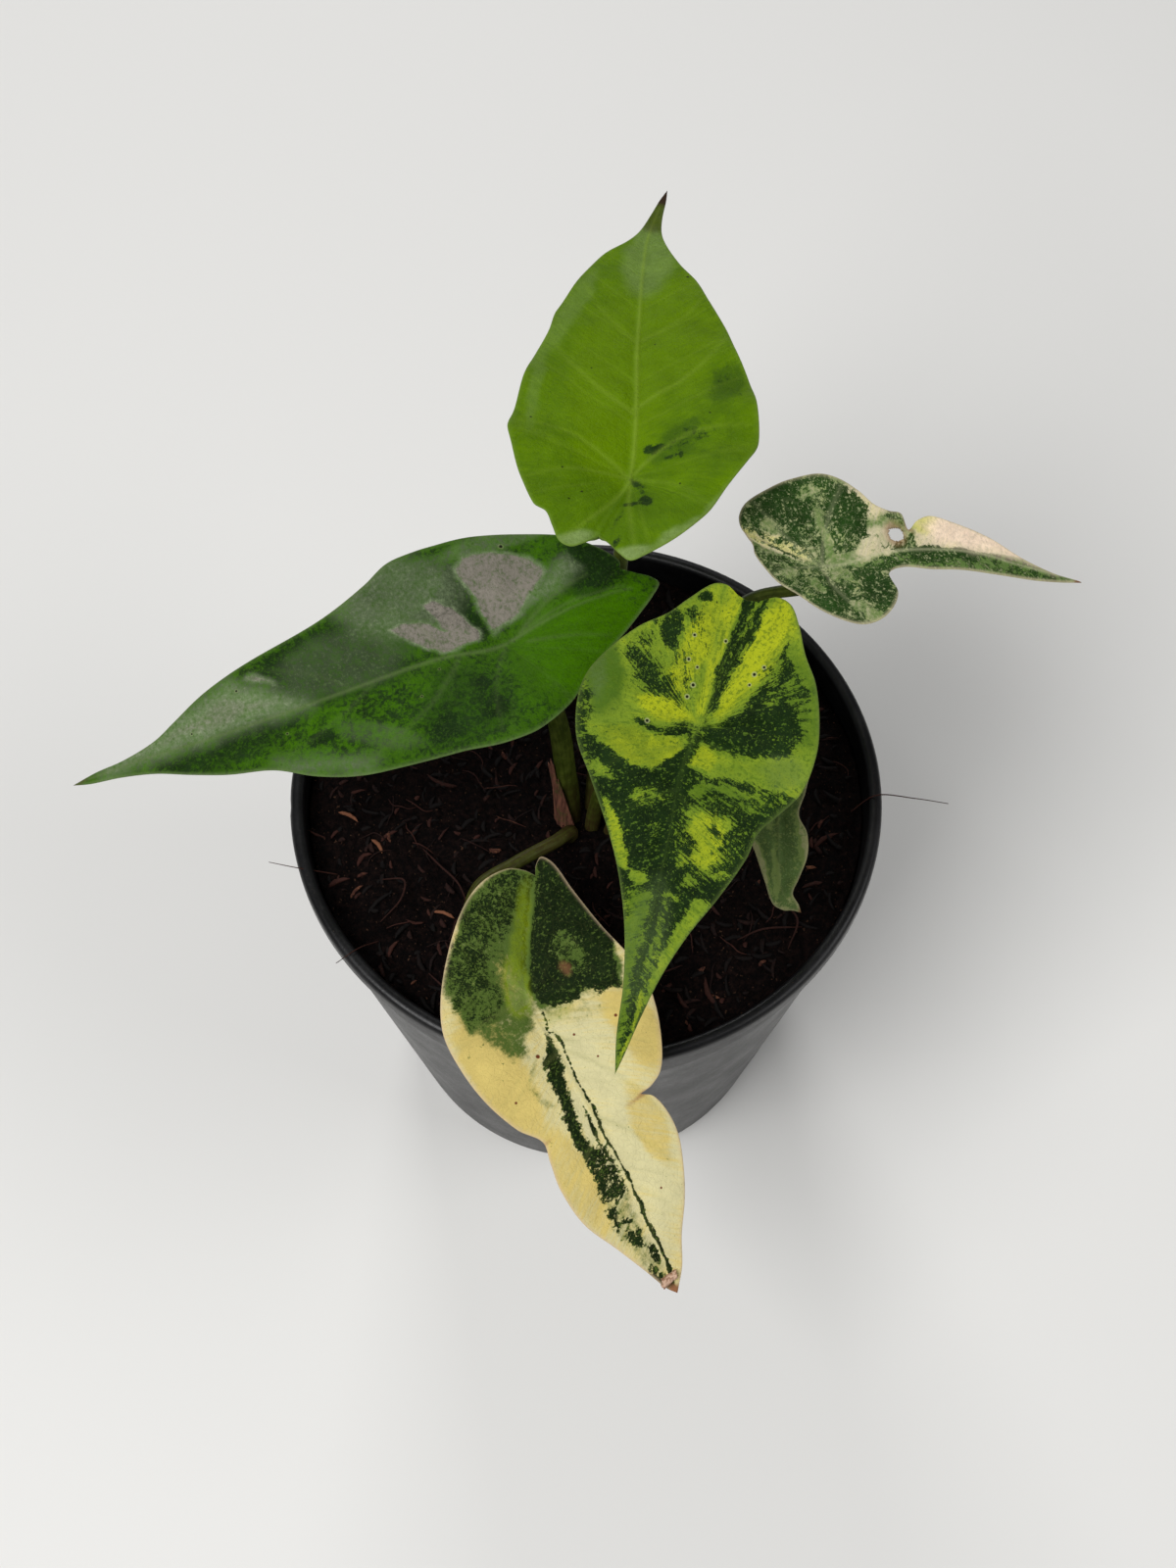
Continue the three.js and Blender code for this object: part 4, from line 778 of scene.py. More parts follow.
class Recipe:
    """One material, with short names for the nodes in it."""

    def __init__(self, name, roughness, ior=1.45, gloss=0.5):
        self.material = bpy.data.materials.new(name)
        self.material.use_nodes = True
        self.tree = self.material.node_tree
        self.skin = self.tree.nodes["Principled BSDF"]
        self.set(self.skin, {"Roughness": roughness, "IOR": ior, "Specular IOR Level": gloss})

    def set(self, node, inputs):
        for key, value in inputs.items():
            if isinstance(value, bpy.types.NodeSocket):
                self.tree.links.new(value, node.inputs[key])
            else:
                node.inputs[key].default_value = value

    def node(self, kind, inputs, **settings):
        node = self.tree.nodes.new("ShaderNode" + kind)
        for key, value in settings.items():
            setattr(node, key, value)
        self.set(node, inputs)
        return node

    def field(self, name, kind="Fac"):
        """Field of the mesh: Fac for numbers, Vector for places."""
        return self.node("Attribute", {}, attribute_name=name).outputs[kind]

    def position(self):
        """Place on the object, in millimetres."""
        return self.stretch(self.node("TexCoord", {}).outputs["Object"], (1 / MM,) * 3)

    def stretch(self, place, factors):
        return self.node("VectorMath", {0: place, 1: factors}, operation="MULTIPLY").outputs[0]

    def noise(self, place, scale, detail, roughness, warp=0.0):
        inputs = {"Vector": place, "Scale": scale, "Detail": detail, "Roughness": roughness,
                  "Distortion": warp}
        return self.node("TexNoise", inputs).outputs["Fac"]

    def cells(self, place, scale):
        """Distance to the nearest border of random cells."""
        inputs = {"Vector": place, "Scale": scale}
        return self.node("TexVoronoi", inputs, feature="DISTANCE_TO_EDGE").outputs["Distance"]

    def calc(self, operation, *values):
        return self.node("Math", dict(enumerate(values)), operation=operation).outputs[0]

    def sum(self, *terms):
        """Terms are sockets, numbers, or pairs of a socket and its weight."""
        total = 0.0
        for term in terms:
            socket, weight = term if isinstance(term, tuple) else (term, 1.0)
            total = self.calc("MULTIPLY_ADD", socket, weight, total)
        return total

    def times(self, a, b):
        return self.calc("MULTIPLY", a, b)

    def step(self, value, low, high):
        """0 below low, 1 above high, smooth between; low may be the larger one."""
        inputs = {"Value": value, "From Min": low, "From Max": high}
        return self.node("MapRange", inputs, interpolation_type="SMOOTHSTEP").outputs["Result"]

    def mix(self, share, a, b):
        """Colour a with a share of colour b."""
        return self.node("Mix", {0: share, 6: a, 7: b}, data_type="RGBA").outputs[2]

    def shade(self, tint, amount):
        """Colour made lighter or darker by a factor."""
        return self.node("VectorMath", {0: tint, "Scale": amount}, operation="SCALE").outputs[0]

    def finish(self, tint, relief, depth, **more):
        """Material with this colour, relief (a height field and its depth in millimetres) and more."""
        bump = self.node("Bump", {"Height": relief, "Distance": depth * MM, "Strength": 1.0})
        self.set(self.skin, {"Base Color": tint, "Normal": bump.outputs["Normal"], **more})
        return self.material


def leaf_skin(name):
    """Waxy leaf: mottled ground, mid-green wash, dark marks that follow the veins, rib, edge, wax and
    painted sheen.
    """
    tones = {key: colour(*value) for key, value in PALETTES[name].items()}
    g = GRAINS[name]
    r = Recipe(f"{name}_blade_skin", g["rough"], ior=1.42, gloss=0.06)
    flat, grain = r.field("flat", "Vector"), r.field("grain", "Vector")
    streak = r.noise(r.stretch(grain, (1.5, 0.17, 1)), 1.0, 7, 0.68, 0.5)
    cloud = r.noise(flat, 0.55, 8, 0.7, 0.8)
    speck = r.noise(flat, 1.35, 6, 0.72)
    soft_cloud = r.noise(flat, 0.16, 3, 0.5)
    ragged = r.sum((streak, g["streak"]), (cloud, g["cloud"]), (speck, g["speck"]))
    # Ground, wash, side veins and green flecks
    warm = r.step(r.sum(r.field("warm"), (streak, 1.2), (soft_cloud, 0.8), -1.0), 0.15, 0.85)
    wash = r.step(r.sum(r.field("wash"), (ragged, 2.4), -1.2), 0.2, 0.85)
    skin = r.mix(wash, r.mix(warm, tones["cool"], tones["warm"]), tones["wash"])
    place = r.node("SeparateXYZ", {0: grain}).outputs[0]
    vein_line = r.calc("PINGPONG", place, LEAVES[name]["gap"] / 2)
    vein = r.times(r.step(vein_line, 0.7, 0.05), r.field("vein_fade"))
    skin = r.mix(r.times(vein, g["veins"]), skin, tones["rib"])
    fleck = r.sum((streak, 0.35), (speck, 0.65))
    skin = r.mix(r.times(r.step(fleck, 0.5, 0.43), g["green"]), skin, tones["wash"])
    # Dark marks with a green fringe and pale flecks, and the fine net
    value = r.sum(r.field("mark"), (ragged, g["reach"]), -0.5 * g["reach"])
    fringe = r.step(value, 0.46 - 2.2 * g["soft"], 0.46)
    skin = r.mix(r.times(fringe, 0.5), skin, tones["wash"])
    dark = r.shade(tones["mark"][:3], r.sum((soft_cloud, 1.2), (cloud, 1.6), -0.35))
    dark = r.mix(r.times(r.step(fleck, 0.54, 0.58), g["pale"]), dark, tones["fleck"])
    skin = r.mix(r.step(value, 0.5 - g["soft"], 0.5 + g["soft"]), skin, dark)
    net = r.step(r.cells(flat, 0.75), 0.08, 0.0)
    skin = r.mix(r.times(net, 0.05), skin, tones["rib"])
    # Wax with painted sheen and reflections, rib and edge
    bloom_and_sheen = r.field("bloom_and_sheen")
    wax_and_sheen_share = r.sum((speck, 3.0 * g["mist"]), (cloud, 2.0 * g["mist"]), 1.05 - 2.5 * g["mist"])
    wax_and_sheen_tone = r.mix(r.step(bloom_and_sheen, 0.5, 0.75), tones.get("sheen", tones["bloom_and_sheen"]), tones["bloom_and_sheen"])
    wax_and_sheen_tone = r.shade(wax_and_sheen_tone, r.sum((speck, 0.5), (cloud, 0.6), 0.46))
    skin = r.mix(r.times(bloom_and_sheen, wax_and_sheen_share), skin, wax_and_sheen_tone)
    skin = r.mix(r.field("rib"), skin, tones["rib"])
    skin = r.mix(r.times(r.field("edge"), 0.6), skin, tones["edge"])
    # Specks, dead tissue, the paler underside and slight unevenness
    core, ring = SPECKS[name]
    for x, y, radius in MARKS[name]["dots"]:
        gap = r.node("VectorMath", {0: flat, 1: (x, y, 0)}, operation="DISTANCE").outputs["Value"]
        if ring:
            halo = r.times(r.step(gap, 2.0 * radius, 1.4 * radius), ring)
            skin = r.mix(halo, skin, colour(*SPECK_RING))
        skin = r.mix(r.step(gap, 1.2 * radius, 0.7 * radius), skin, colour(*core))
    skin = r.mix(r.field("dry"), skin, tones["dry"])
    skin = r.mix(r.times(r.field("under"), 0.4), skin, tones["bloom_and_sheen"])
    skin = r.shade(skin, r.sum((soft_cloud, 0.4), (speck, 0.2), (streak, 0.24), 0.58))
    rough = r.sum((cloud, 0.24), (r.field("dry"), 0.3), g["rough"] - 0.12)
    pores = r.noise(flat, 1.6, 5, 0.65)
    relief = r.sum((net, -0.13), (pores, 0.8), (cloud, 0.65), (vein, -0.12))
    return r.finish(skin, relief, 0.26, Roughness=rough)


def halves(leaf):
    """Outlines of the left and the right half; both start at the notch and end at the tip."""
    return [[leaf["rib"][0], *leaf[side], leaf["rib"][-1]] for side in ("left", "right")]


def blade_shares(leaf):
    """Shares along the rim and the matching places on the rib: back lobe first, then forwards.

    The lobe ends where the rim comes forward of a line that rises 0.45 for 1 across."""
    t = np.linspace(0, 1, BLADE_ROWS + 1)
    notch, tip = leaf["rib"][0][1], leaf["rib"][-1][1]
    stations = []
    for edge in halves(leaf):
        trial = np.linspace(0.1, 0.9, 161)
        spots = along(edge, trial)
        lobe = trial[np.argmax(spots[:, 1] >= 0.45 * np.abs(spots[:, 0]))]
        back = notch * (1 - (np.minimum(t / lobe, 1)) ** 1.3)
        stations.append(np.where(t < lobe, back, tip * (t - lobe) / (1 - lobe)))
    return t, np.mean(stations, 0)


def blade(name):
    """Closed blade: rows run from notch to tip, and each is a ring over the upper and lower face.

    The upper face is the sheet raised by blade_height, with cushions between the side veins
    and a fine ridge along the rib. The faces meet in a rounded edge; a keel follows the rib below."""
    leaf, marks, grain = LEAVES[name], MARKS[name], GRAINS[name]
    t, stations = blade_shares(leaf)
    ribs = np.stack([rib_at(leaf, stations), stations], -1)
    inner = np.linspace(0, 1, HALF_COLUMNS) ** 1.35
    grids = []
    for edge in halves(leaf):
        rim = along(edge, t)
        width = np.linalg.norm(rim - ribs, axis=1)
        bead = np.minimum(BLADE_THICK, 0.5 * width)
        shares = [w * (1 - bead / np.maximum(width, 1e-6)) for w in inner]
        shares += [1 - s * bead / np.maximum(width, 1e-6) for s in (0.55, 0.25, 0.08, 0)]
        w = np.array(shares).T
        grids.append((ribs[:, None] + (rim - ribs)[:, None] * w[..., None], (1 - w) * width[:, None]))
    flat, from_edge = (np.concatenate([a[:, ::-1], b[:, 1:]], 1) for a, b in zip(*grids))
    x, y = flat[..., 0], flat[..., 1]
    offset = x - rib_at(leaf, y)
    taper = np.clip(1 - y / leaf["rib"][-1][1], 0, 1)
    start, out = vein_place(leaf, x, y)
    start = start + 0.7 * (lattice(x, y, 9, SEEDS["veins"]) - 0.5)
    calm = ease(np.abs(offset) / 3.5) * ease(from_edge / 4)
    drawn = trace(marks["lines"], x, y) * ease(from_edge / 1.5)
    cushion = leaf["puff"] * calm * (1 - np.cos(2 * np.pi * start / leaf["gap"])) / 2
    cushion += LUMP_H * calm * crumble(x, y, 3.2, SEEDS["lumps"])
    ridge = RIDGE_H * taper ** 0.5 * (bell(offset, 0.5) - bell(offset, 1.5))
    top = blade_height(leaf, x, y) + cushion + ridge * ease(from_edge / 2) - VEIN_DEPTH * drawn
    thick = BLADE_THICK * np.sqrt(1 - (1 - np.clip(from_edge / BLADE_THICK, 0, 1)) ** 2)
    keel = RIB_DEPTH * taper * bell(offset, RIB_HALF_WIDTH) * ease(from_edge / 3)
    upper = on_sheet(leaf, x, y, top - (BLADE_THICK - thick) / 2)
    lower = on_sheet(leaf, x, y, top - (BLADE_THICK + thick) / 2 - keel)
    join = lambda a, b: np.concatenate([a, b[:, -2:0:-1]], 1)
    both = lambda a: join(a, a)
    points = join(upper, lower)
    zeros = np.zeros_like(x)
    ragged_x, ragged_y = (RAGGED * crumble(x, y, 3.6, seed) for seed in SEEDS["ragged"])
    fields = {key: paint(marks[key], x + ragged_x, y + ragged_y) for key in FIELDS}
    midrib = grain["rib"] * bell(offset, grain["rib_wide"] * (0.6 + 0.4 * taper)) * ease(y / 3 + 0.7)
    fields["rib"] = np.maximum(midrib, drawn) * ease(from_edge / 0.6 - 0.2)
    fields["edge"] = bell(from_edge, EDGE_WIDTH)
    fields["vein_fade"] = ease(np.abs(offset) / 1.2) * ease(from_edge / 2.5)
    layers = {key: both(value).ravel() for key, value in fields.items()}
    layers["under"] = join(zeros, zeros + 1).ravel()
    layers["flat"] = both(np.stack([x, y, zeros], -1)).reshape(-1, 3)
    layers["grain"] = both(np.stack([start, out, np.sign(offset) * 40], -1)).reshape(-1, 3)
    faces = grid_faces(*points.shape[:2])
    if name == "right":
        middle = layers["flat"][faces][..., :2].mean(1)
        faces = faces[np.hypot(*(middle - TEAR_AT).T) > TEAR_R]
    piece = new_piece(f"{name}_blade", points, faces, leaf_skin(name),
                      nodes=[f"blade_{name}"], fields=layers)
    if name == "right":
        close_tear(piece.data)


def close_tear(mesh):
    """Joins the rims of the torn hole on the upper and the lower face."""
    work = bmesh.new()
    work.from_mesh(mesh)
    bmesh.ops.bridge_loops(work, edges=[edge for edge in work.edges if edge.is_boundary])
    bmesh.ops.recalc_face_normals(work, faces=work.faces)
    for face in work.faces:
        face.smooth = True
    work.to_mesh(mesh)
    work.free()


def stalk_path(name, samples):
    """From the foot in the soil to the rib under the blade."""
    leaf, stalk = LEAVES[name], STALKS[name]
    middle = blade_height(leaf, np.array(0.0), np.array(0.0))
    under = float(middle) - SOLID_THICK - RIB_DEPTH - STALK_GAP
    near, end = (on_sheet(leaf, 0, 0, under + h) for h in (-4, 1.2))
    foot = stalk["foot"]
    points = [(*foot, FOOT_Z), (*foot, SOIL_TOP - 1), *stalk["via"], near, end]
    return centripetal(points, samples)


def stalk_skin():
    """Smooth olive stalk, browner and streaked towards the soil, with pale dots."""
    r = Recipe("stalk_skin", 0.45, gloss=0.12)
    spot = r.position()
    streak = r.noise(r.stretch(r.field("skin", "Vector"), (1.4, 0.12, 1)), 1.0, 4, 0.6)
    mottle = r.noise(spot, 0.5, 4, 0.6)
    green = r.mix(r.step(r.sum(streak, mottle), 0.8, 1.25), colour(46, 57, 12), colour(68, 78, 25))
    foot = r.mix(r.step(streak, 0.35, 0.65), colour(61, 41, 26), colour(63, 59, 26))
    low = r.step(r.sum(r.field("rise"), (mottle, 14.0)), 26.0, 6.0)
    skin = r.mix(r.times(low, 0.8), green, foot)
    dots = r.step(r.noise(spot, 2.6, 2, 0.5), 0.66, 0.72)
    skin = r.mix(r.times(dots, 0.35), skin, colour(106, 106, 73))
    relief = r.sum((streak, 0.7), (r.noise(spot, 4.0, 2, 0.5), 0.3))
    return r.finish(r.shade(skin, r.sum((mottle, 0.4), 0.8)), relief, 0.12)


def petiole(name, material):
    """Stalk: a round with a shallow groove on its upper side, widening where it meets the rib."""
    samples, sides = 110, 28
    path = stalk_path(name, samples)
    low, high = STALKS[name]["radii"]
    share = np.linspace(0, 1, samples)
    a = angles(sides)
    flare = 1 + (0.175 if name == "small" else 0.35) * ease((share - 0.95) / 0.05)
    groove = 1 - 0.1 * bell(np.minimum(a, 2 * np.pi - a), 0.45)
    wobble = 1 + 0.03 * np.sin(share * 31 + low * 9)[:, None] * np.cos(2 * a)[None]
    radii = ((low + (high - low) * share) * flare)[:, None] * groove[None] * wobble
    points, faces = tube(path, radii, sides)
    row = np.concatenate([[0], share, [1]]) * reaches(path)[-1]
    around = np.tile(np.stack([np.cos(a), np.sin(a)], -1), (samples + 2, 1)) * 3
    skin = np.column_stack([around[:, 0], np.repeat(row, sides), around[:, 1]])
    rise = np.repeat(np.concatenate([path[:1, 2], path[:, 2], path[-1:, 2]]), sides) - SOIL_TOP
    new_piece(f"{name}_petiole", points, faces, material,
              nodes=[f"petiole_{name}"], fields={"skin": skin, "rise": rise})


def thin_sheet(outer, inner):
    """Points and faces of a closed thin sheet between two grids of points."""
    rows, columns = outer.shape[:2]
    around = 2 * columns
    j = np.arange(columns - 1)
    cap = np.stack([j, j + 1, around - 2 - j, around - 1 - j], -1)
    faces = [grid_faces(rows, around), cap[:, ::-1], cap + (rows - 1) * around]
    return np.concatenate([outer, inner[:, ::-1]], 1), np.concatenate(faces)


def sheath():
    """Dry sheath: a thin curled leaf round the left stalk's foot, open at the back and torn on top.

    u goes up the stalk and v across the sheath. Its radius falls from about 3 to 2.5 mm, it reaches
    round less and less towards the top, and its edges curl outwards. skin parts its two faces."""
    rows, columns = 60, 44
    path = stalk_path("left", 220)
    path = path[(path[:, 2] > SHEATH_LOW) & (path[:, 2] < SHEATH_TOP)]
    path = read_off(path, np.linspace(0, 1, len(path)), np.linspace(0, 1, rows))
    u = np.linspace(0, 1, rows)[:, None]
    v = np.linspace(0, 1, columns)[None]
    angle = math.radians(215) + 2.5 * (1 - 0.55 * u) * (v - 0.5) * 2 * 0.62
    torn = 0.8 + 0.2 * lattice(v * 30, v * 0, 2.2, SEEDS["sheath"]) - 0.35 * np.abs(v - 0.42) ** 1.5
    base = read_off(path, u[:, 0], u * torn)
    curl = 0.5 * ease((np.abs(v - 0.5) - 0.35) / 0.15) * u
    level = np.zeros_like(angle)
    shells = []
    for skin in (0.22, 0.0):
        radius = 3.05 - 0.5 * u + curl + skin + 0.1 * np.sin(v * 40) * (1 - u * 0.5)
        shells.append(base + np.stack([np.cos(angle), np.sin(angle), level], -1) * radius[..., None])
    points, faces = thin_sheet(*shells)
    r = Recipe("dry_sheath", 0.75, ior=1.4)
    spot = r.position()
    fibre = r.noise(r.stretch(spot, (1.6, 1.6, 0.12)), 1.0, 4, 0.6)
    patch = r.noise(spot, 0.5, 3, 0.6)
    skin = r.mix(r.step(fibre, 0.35, 0.65), colour(66, 36, 27), colour(122, 78, 60))
    skin = r.mix(r.step(patch, 0.5, 0.7), skin, colour(72, 66, 30))
    new_piece("sheath_leaf", points, faces, r.finish(skin, fibre, 0.15),
              nodes=["sheath"])


def dry_tip():
    """Dry tip of the front leaf: a thin scroll rolled across the blade, just behind its point.

    turn goes round the roll and across from end to end. skin parts the scroll's two faces."""
    leaf = LEAVES["front"]
    turn = np.linspace(-0.5, 1.9, 44)[:, None] * np.pi
    across = np.linspace(-1, 1, 20)[None]
    wrinkle = 0.12 * across + 0.05 * np.sin(7 * across + 2 * turn)
    shells = []
    for skin in (0.1, -0.1):
        radius = 0.85 - 0.08 * turn / np.pi + skin + wrinkle
        x = -0.5 + 1.65 * across + 0.2 * np.sin(turn * 1.4)
        y = 59.35 + radius * np.cos(turn) + 0.3 * across
        height = blade_height(leaf, x, y) + 0.3 + radius * np.sin(turn)
        shells.append(on_sheet(leaf, x, y, height))
    points, faces = thin_sheet(*shells)
    r = Recipe("dry_tip_skin", 0.7, ior=1.4)
    fibre = r.noise(r.position(), 1.6, 4, 0.65)
    skin = r.mix(r.step(fibre, 0.4, 0.62), colour(208, 174, 148), colour(142, 100, 74))
    new_piece("dry_leaf_tip", points, faces, r.finish(skin, fibre, 0.15))


def wall_radius(z):
    """Radius of the pot's outer wall: a straight taper with a steeper collar on top."""
    wall = POT_BASE_R + (COLLAR_R - POT_BASE_R) * z / COLLAR_Z
    collar = COLLAR_R + (LIP_R - COLLAR_R) * (z - COLLAR_Z) / (LIP_Z - COLLAR_Z)
    return collar if z > COLLAR_Z else wall


def arc(middle_r, middle_z, radius, start, end, steps):
    """Points of a profile on an arc, directions in degrees from outwards."""
    a = np.radians(np.linspace(start, end, steps))
    return [(middle_r + radius * math.cos(t), middle_z + radius * math.sin(t)) for t in a]


def pot_profile():
    """Closed section of the pot's wall, from the middle of the underside round to the middle inside."""
    lip_r, lip_z = POT_RIM_R - LIP_BEAD, POT_H - LIP_BEAD
    outer = [(0, 0), (20, 0), (POT_BASE_R - 1.2, 0), *arc(POT_BASE_R - 0.9, 1.0, 1.0, -80, 0, 5)]
    outer += [(wall_radius(z), z) for z in (4, 12, 24, 40, 56, 72, 84, 89.6)]
    outer += [(COLLAR_R + 0.1, COLLAR_Z), (COLLAR_R + 0.15, COLLAR_Z + 0.5), (LIP_R - 0.1, LIP_Z - 1)]
    outer += [(LIP_R, LIP_Z), (LIP_R + 0.7, LIP_Z + 0.2)]
    rim = [(POT_RIM_R - 0.35, LIP_Z + 0.5), (POT_RIM_R - 0.02, LIP_Z + 1.1)]
    rim += arc(lip_r, lip_z, LIP_BEAD, 0, 90, 9) + arc(lip_r - 0.15, lip_z, LIP_BEAD, 90, 165, 8)
    inner = [(LIP_R - WALL + 0.1, LIP_Z - 0.6), (COLLAR_R - WALL, COLLAR_Z)]
    inner += [(wall_radius(z) - WALL, z) for z in (80, 60, 40, 20, 3)]
    inner += [(wall_radius(WALL) - WALL - 1.2, WALL + 0.1), (20, WALL), (0, WALL)]
    return np.array(outer + rim + inner)


def spun(section, sides):
    """x, y and z of a section of radii and heights, carried round the pot's axis."""
    a = angles(sides)
    return section[:, :1] * np.cos(a), section[:, :1] * np.sin(a), np.repeat(section[:, 1:], sides, 1)


def pot_plastic():
    """Black moulded plastic: satin, with fine rubbed scratches and dust in the grain."""
    r = Recipe("black_pot_plastic", 0.38, ior=1.48, gloss=0.35)
    spot = r.position()
    dust = r.noise(spot, 0.09, 5, 0.65)
    fine = r.noise(spot, 1.6, 3, 0.6)
    scratch = r.noise(r.stretch(spot, (0.25, 0.25, 3.2)), 1.0, 4, 0.7)
    dusty = r.step(r.sum((dust, 0.7), (fine, 0.3)), 0.42, 0.68)
    dull = r.mix(dusty, colour(9, 9, 10), colour(20, 20, 21))
    dull = r.mix(r.times(r.step(scratch, 0.64, 0.7), 0.3), dull, colour(44, 43, 44))
    specks = r.step(r.noise(spot, 2.4, 2, 0.5), 0.7, 0.74)
    skin = r.mix(r.times(specks, 0.5), dull, colour(72, 62, 52))
    rough = r.sum((dust, 0.35), (fine, 0.18), 0.12)
    return r.finish(skin, r.sum((fine, 0.6), (scratch, 0.4)), 0.05, Roughness=rough)


def pot():
    """Pot: its section carried round, with a nick in the lip, and drilled through the base.

    The nick is a bell over the angle, 0.8 % of the radius deep at the outermost part of the lip."""
    section = pot_profile()
    points = np.stack(spun(section, POT_SIDES), -1)
    from_nick = (angles(POT_SIDES) - math.radians(NICK_AT) + np.pi) % (2 * np.pi) - np.pi
    near_lip = ease((section[:, :1] - POT_RIM_R + 0.8) / 0.6)
    points[..., :2] *= 1 - 0.008 * (bell(from_nick, 0.012)[None] * near_lip)[..., None]
    piece = new_piece("nursery_pot", points, grid_faces(len(section), POT_SIDES),
                      pot_plastic(), nodes=["pot"], sharp=50)
    drills = bmesh.new()
    for turn in angles(DRAIN_HOLES):
        made = bmesh.ops.create_cone(drills, cap_ends=True, segments=32, radius1=DRAIN_R * MM,
                                     radius2=DRAIN_R * MM, depth=6 * MM)
        place = Vector((DRAIN_RING_R * math.cos(turn), DRAIN_RING_R * math.sin(turn), WALL / 2)) * MM
        bmesh.ops.translate(drills, verts=made["verts"], vec=place)
    mesh = bpy.data.meshes.new("drills")
    drills.to_mesh(mesh)
    drills.free()
    cutter = add("drills", mesh)
    cut = piece.modifiers.new("drain", "BOOLEAN")
    cut.operation = "DIFFERENCE"
    cut.object = cutter
    cut.solver = "EXACT"
    drilled = piece.evaluated_get(bpy.context.evaluated_depsgraph_get())
    finished = bpy.data.meshes.new_from_object(drilled)
    piece.modifiers.clear()
    piece.data = finished
    bpy.data.objects.remove(cutter)


def soil_height(x, y):
    """Top of the soil: long swells with finer ones across them, and level round the stalks."""
    swell = np.sin(x * 0.11 + 1.1) * np.cos(y * 0.13 - 0.4)
    fine = np.sin(x * 0.53 + y * 0.31) * np.cos(y * 0.47 - x * 0.22 + 0.8)
    calm = ease((np.hypot(x, y + 3) - 6) / 10)
    return SOIL_TOP + SOIL_RELIEF * calm * (0.6 * swell + 0.4 * fine)


def soil_crumbs(x, y):
    """Crumbs on the top of the soil, in millimetres."""
    lumps = crumble(x, y, 5.5, SEEDS["crumbs"]) * 0.45
    grit = np.abs(crumble(x, y, 1.7, SEEDS["grit"])) * 0.55
    return lumps + grit - 0.35


def soil_mix():
    """Moist dark coir: near black, with red-brown crumbs and a few paler ones."""
    r = Recipe("coir_mix", 0.85, ior=1.35, gloss=0.06)
    spot = r.position()
    crumb = r.noise(spot, 0.9, 5, 0.7)
    grit = r.noise(spot, 2.6, 4, 0.7)
    damp = r.noise(spot, 0.07, 3, 0.5)
    soil = r.mix(r.step(crumb, 0.42, 0.66), colour(7, 5, 5), colour(24, 15, 13))
    soil = r.mix(r.times(r.step(grit, 0.62, 0.7), 0.6), soil, colour(62, 38, 30))
    pale = r.step(r.noise(spot, 1.3, 2, 0.5), 0.68, 0.72)
    soil = r.mix(r.times(pale, 0.5), soil, colour(92, 66, 50))
    return r.finish(r.shade(soil, r.sum((damp, 1.1), 0.35)), r.sum((crumb, 0.5), (grit, 0.5)), 0.5,
                    Roughness=r.sum((crumb, 0.4), 0.55))


def soil():
    """Soil: a closed round body that follows the pot's inside, with a crumbly top."""
    sides, rings = 430, 130
    gap = WALL + SOIL_GAP
    r_top = wall_radius(SOIL_TOP) - gap
    under = [(0, gap), (30, gap), (wall_radius(gap) - gap - 1.3, gap),
             (wall_radius(gap + 1) - gap, gap + 1), (COLLAR_R - gap, COLLAR_Z), (r_top, SOIL_TOP - 1.2)]
    top = [(r_top * (1 - k / rings), SOIL_TOP) for k in range(rings + 1)]
    section = np.array(under + top)
    x, y, z = spun(section, sides)
    is_top = np.arange(len(section))[:, None] >= len(under)
    z = np.where(is_top, soil_height(x, y) + soil_crumbs(x, y), z)
    new_piece("coir_soil", np.stack([x, y, z], -1), grid_faces(len(section), sides),
              soil_mix(), nodes=["soil"])


def bits_skin():
    """Coir and bark: each bit its own brown, from near black to tan."""
    r = Recipe("coir_bits", 0.8, ior=1.4, gloss=0.2)
    spot = r.position()
    shade = r.sum(r.field("shade"), (r.noise(spot, 2.0, 3, 0.6), 0.5), -0.25)
    skin = r.mix(r.step(shade, 0.15, 0.7), colour(12, 8, 7), colour(54, 29, 23))
    skin = r.mix(r.step(shade, 0.72, 0.98), skin, colour(118, 76, 54))
    return r.finish(skin, r.noise(spot, 3.0, 3, 0.6), 0.15)


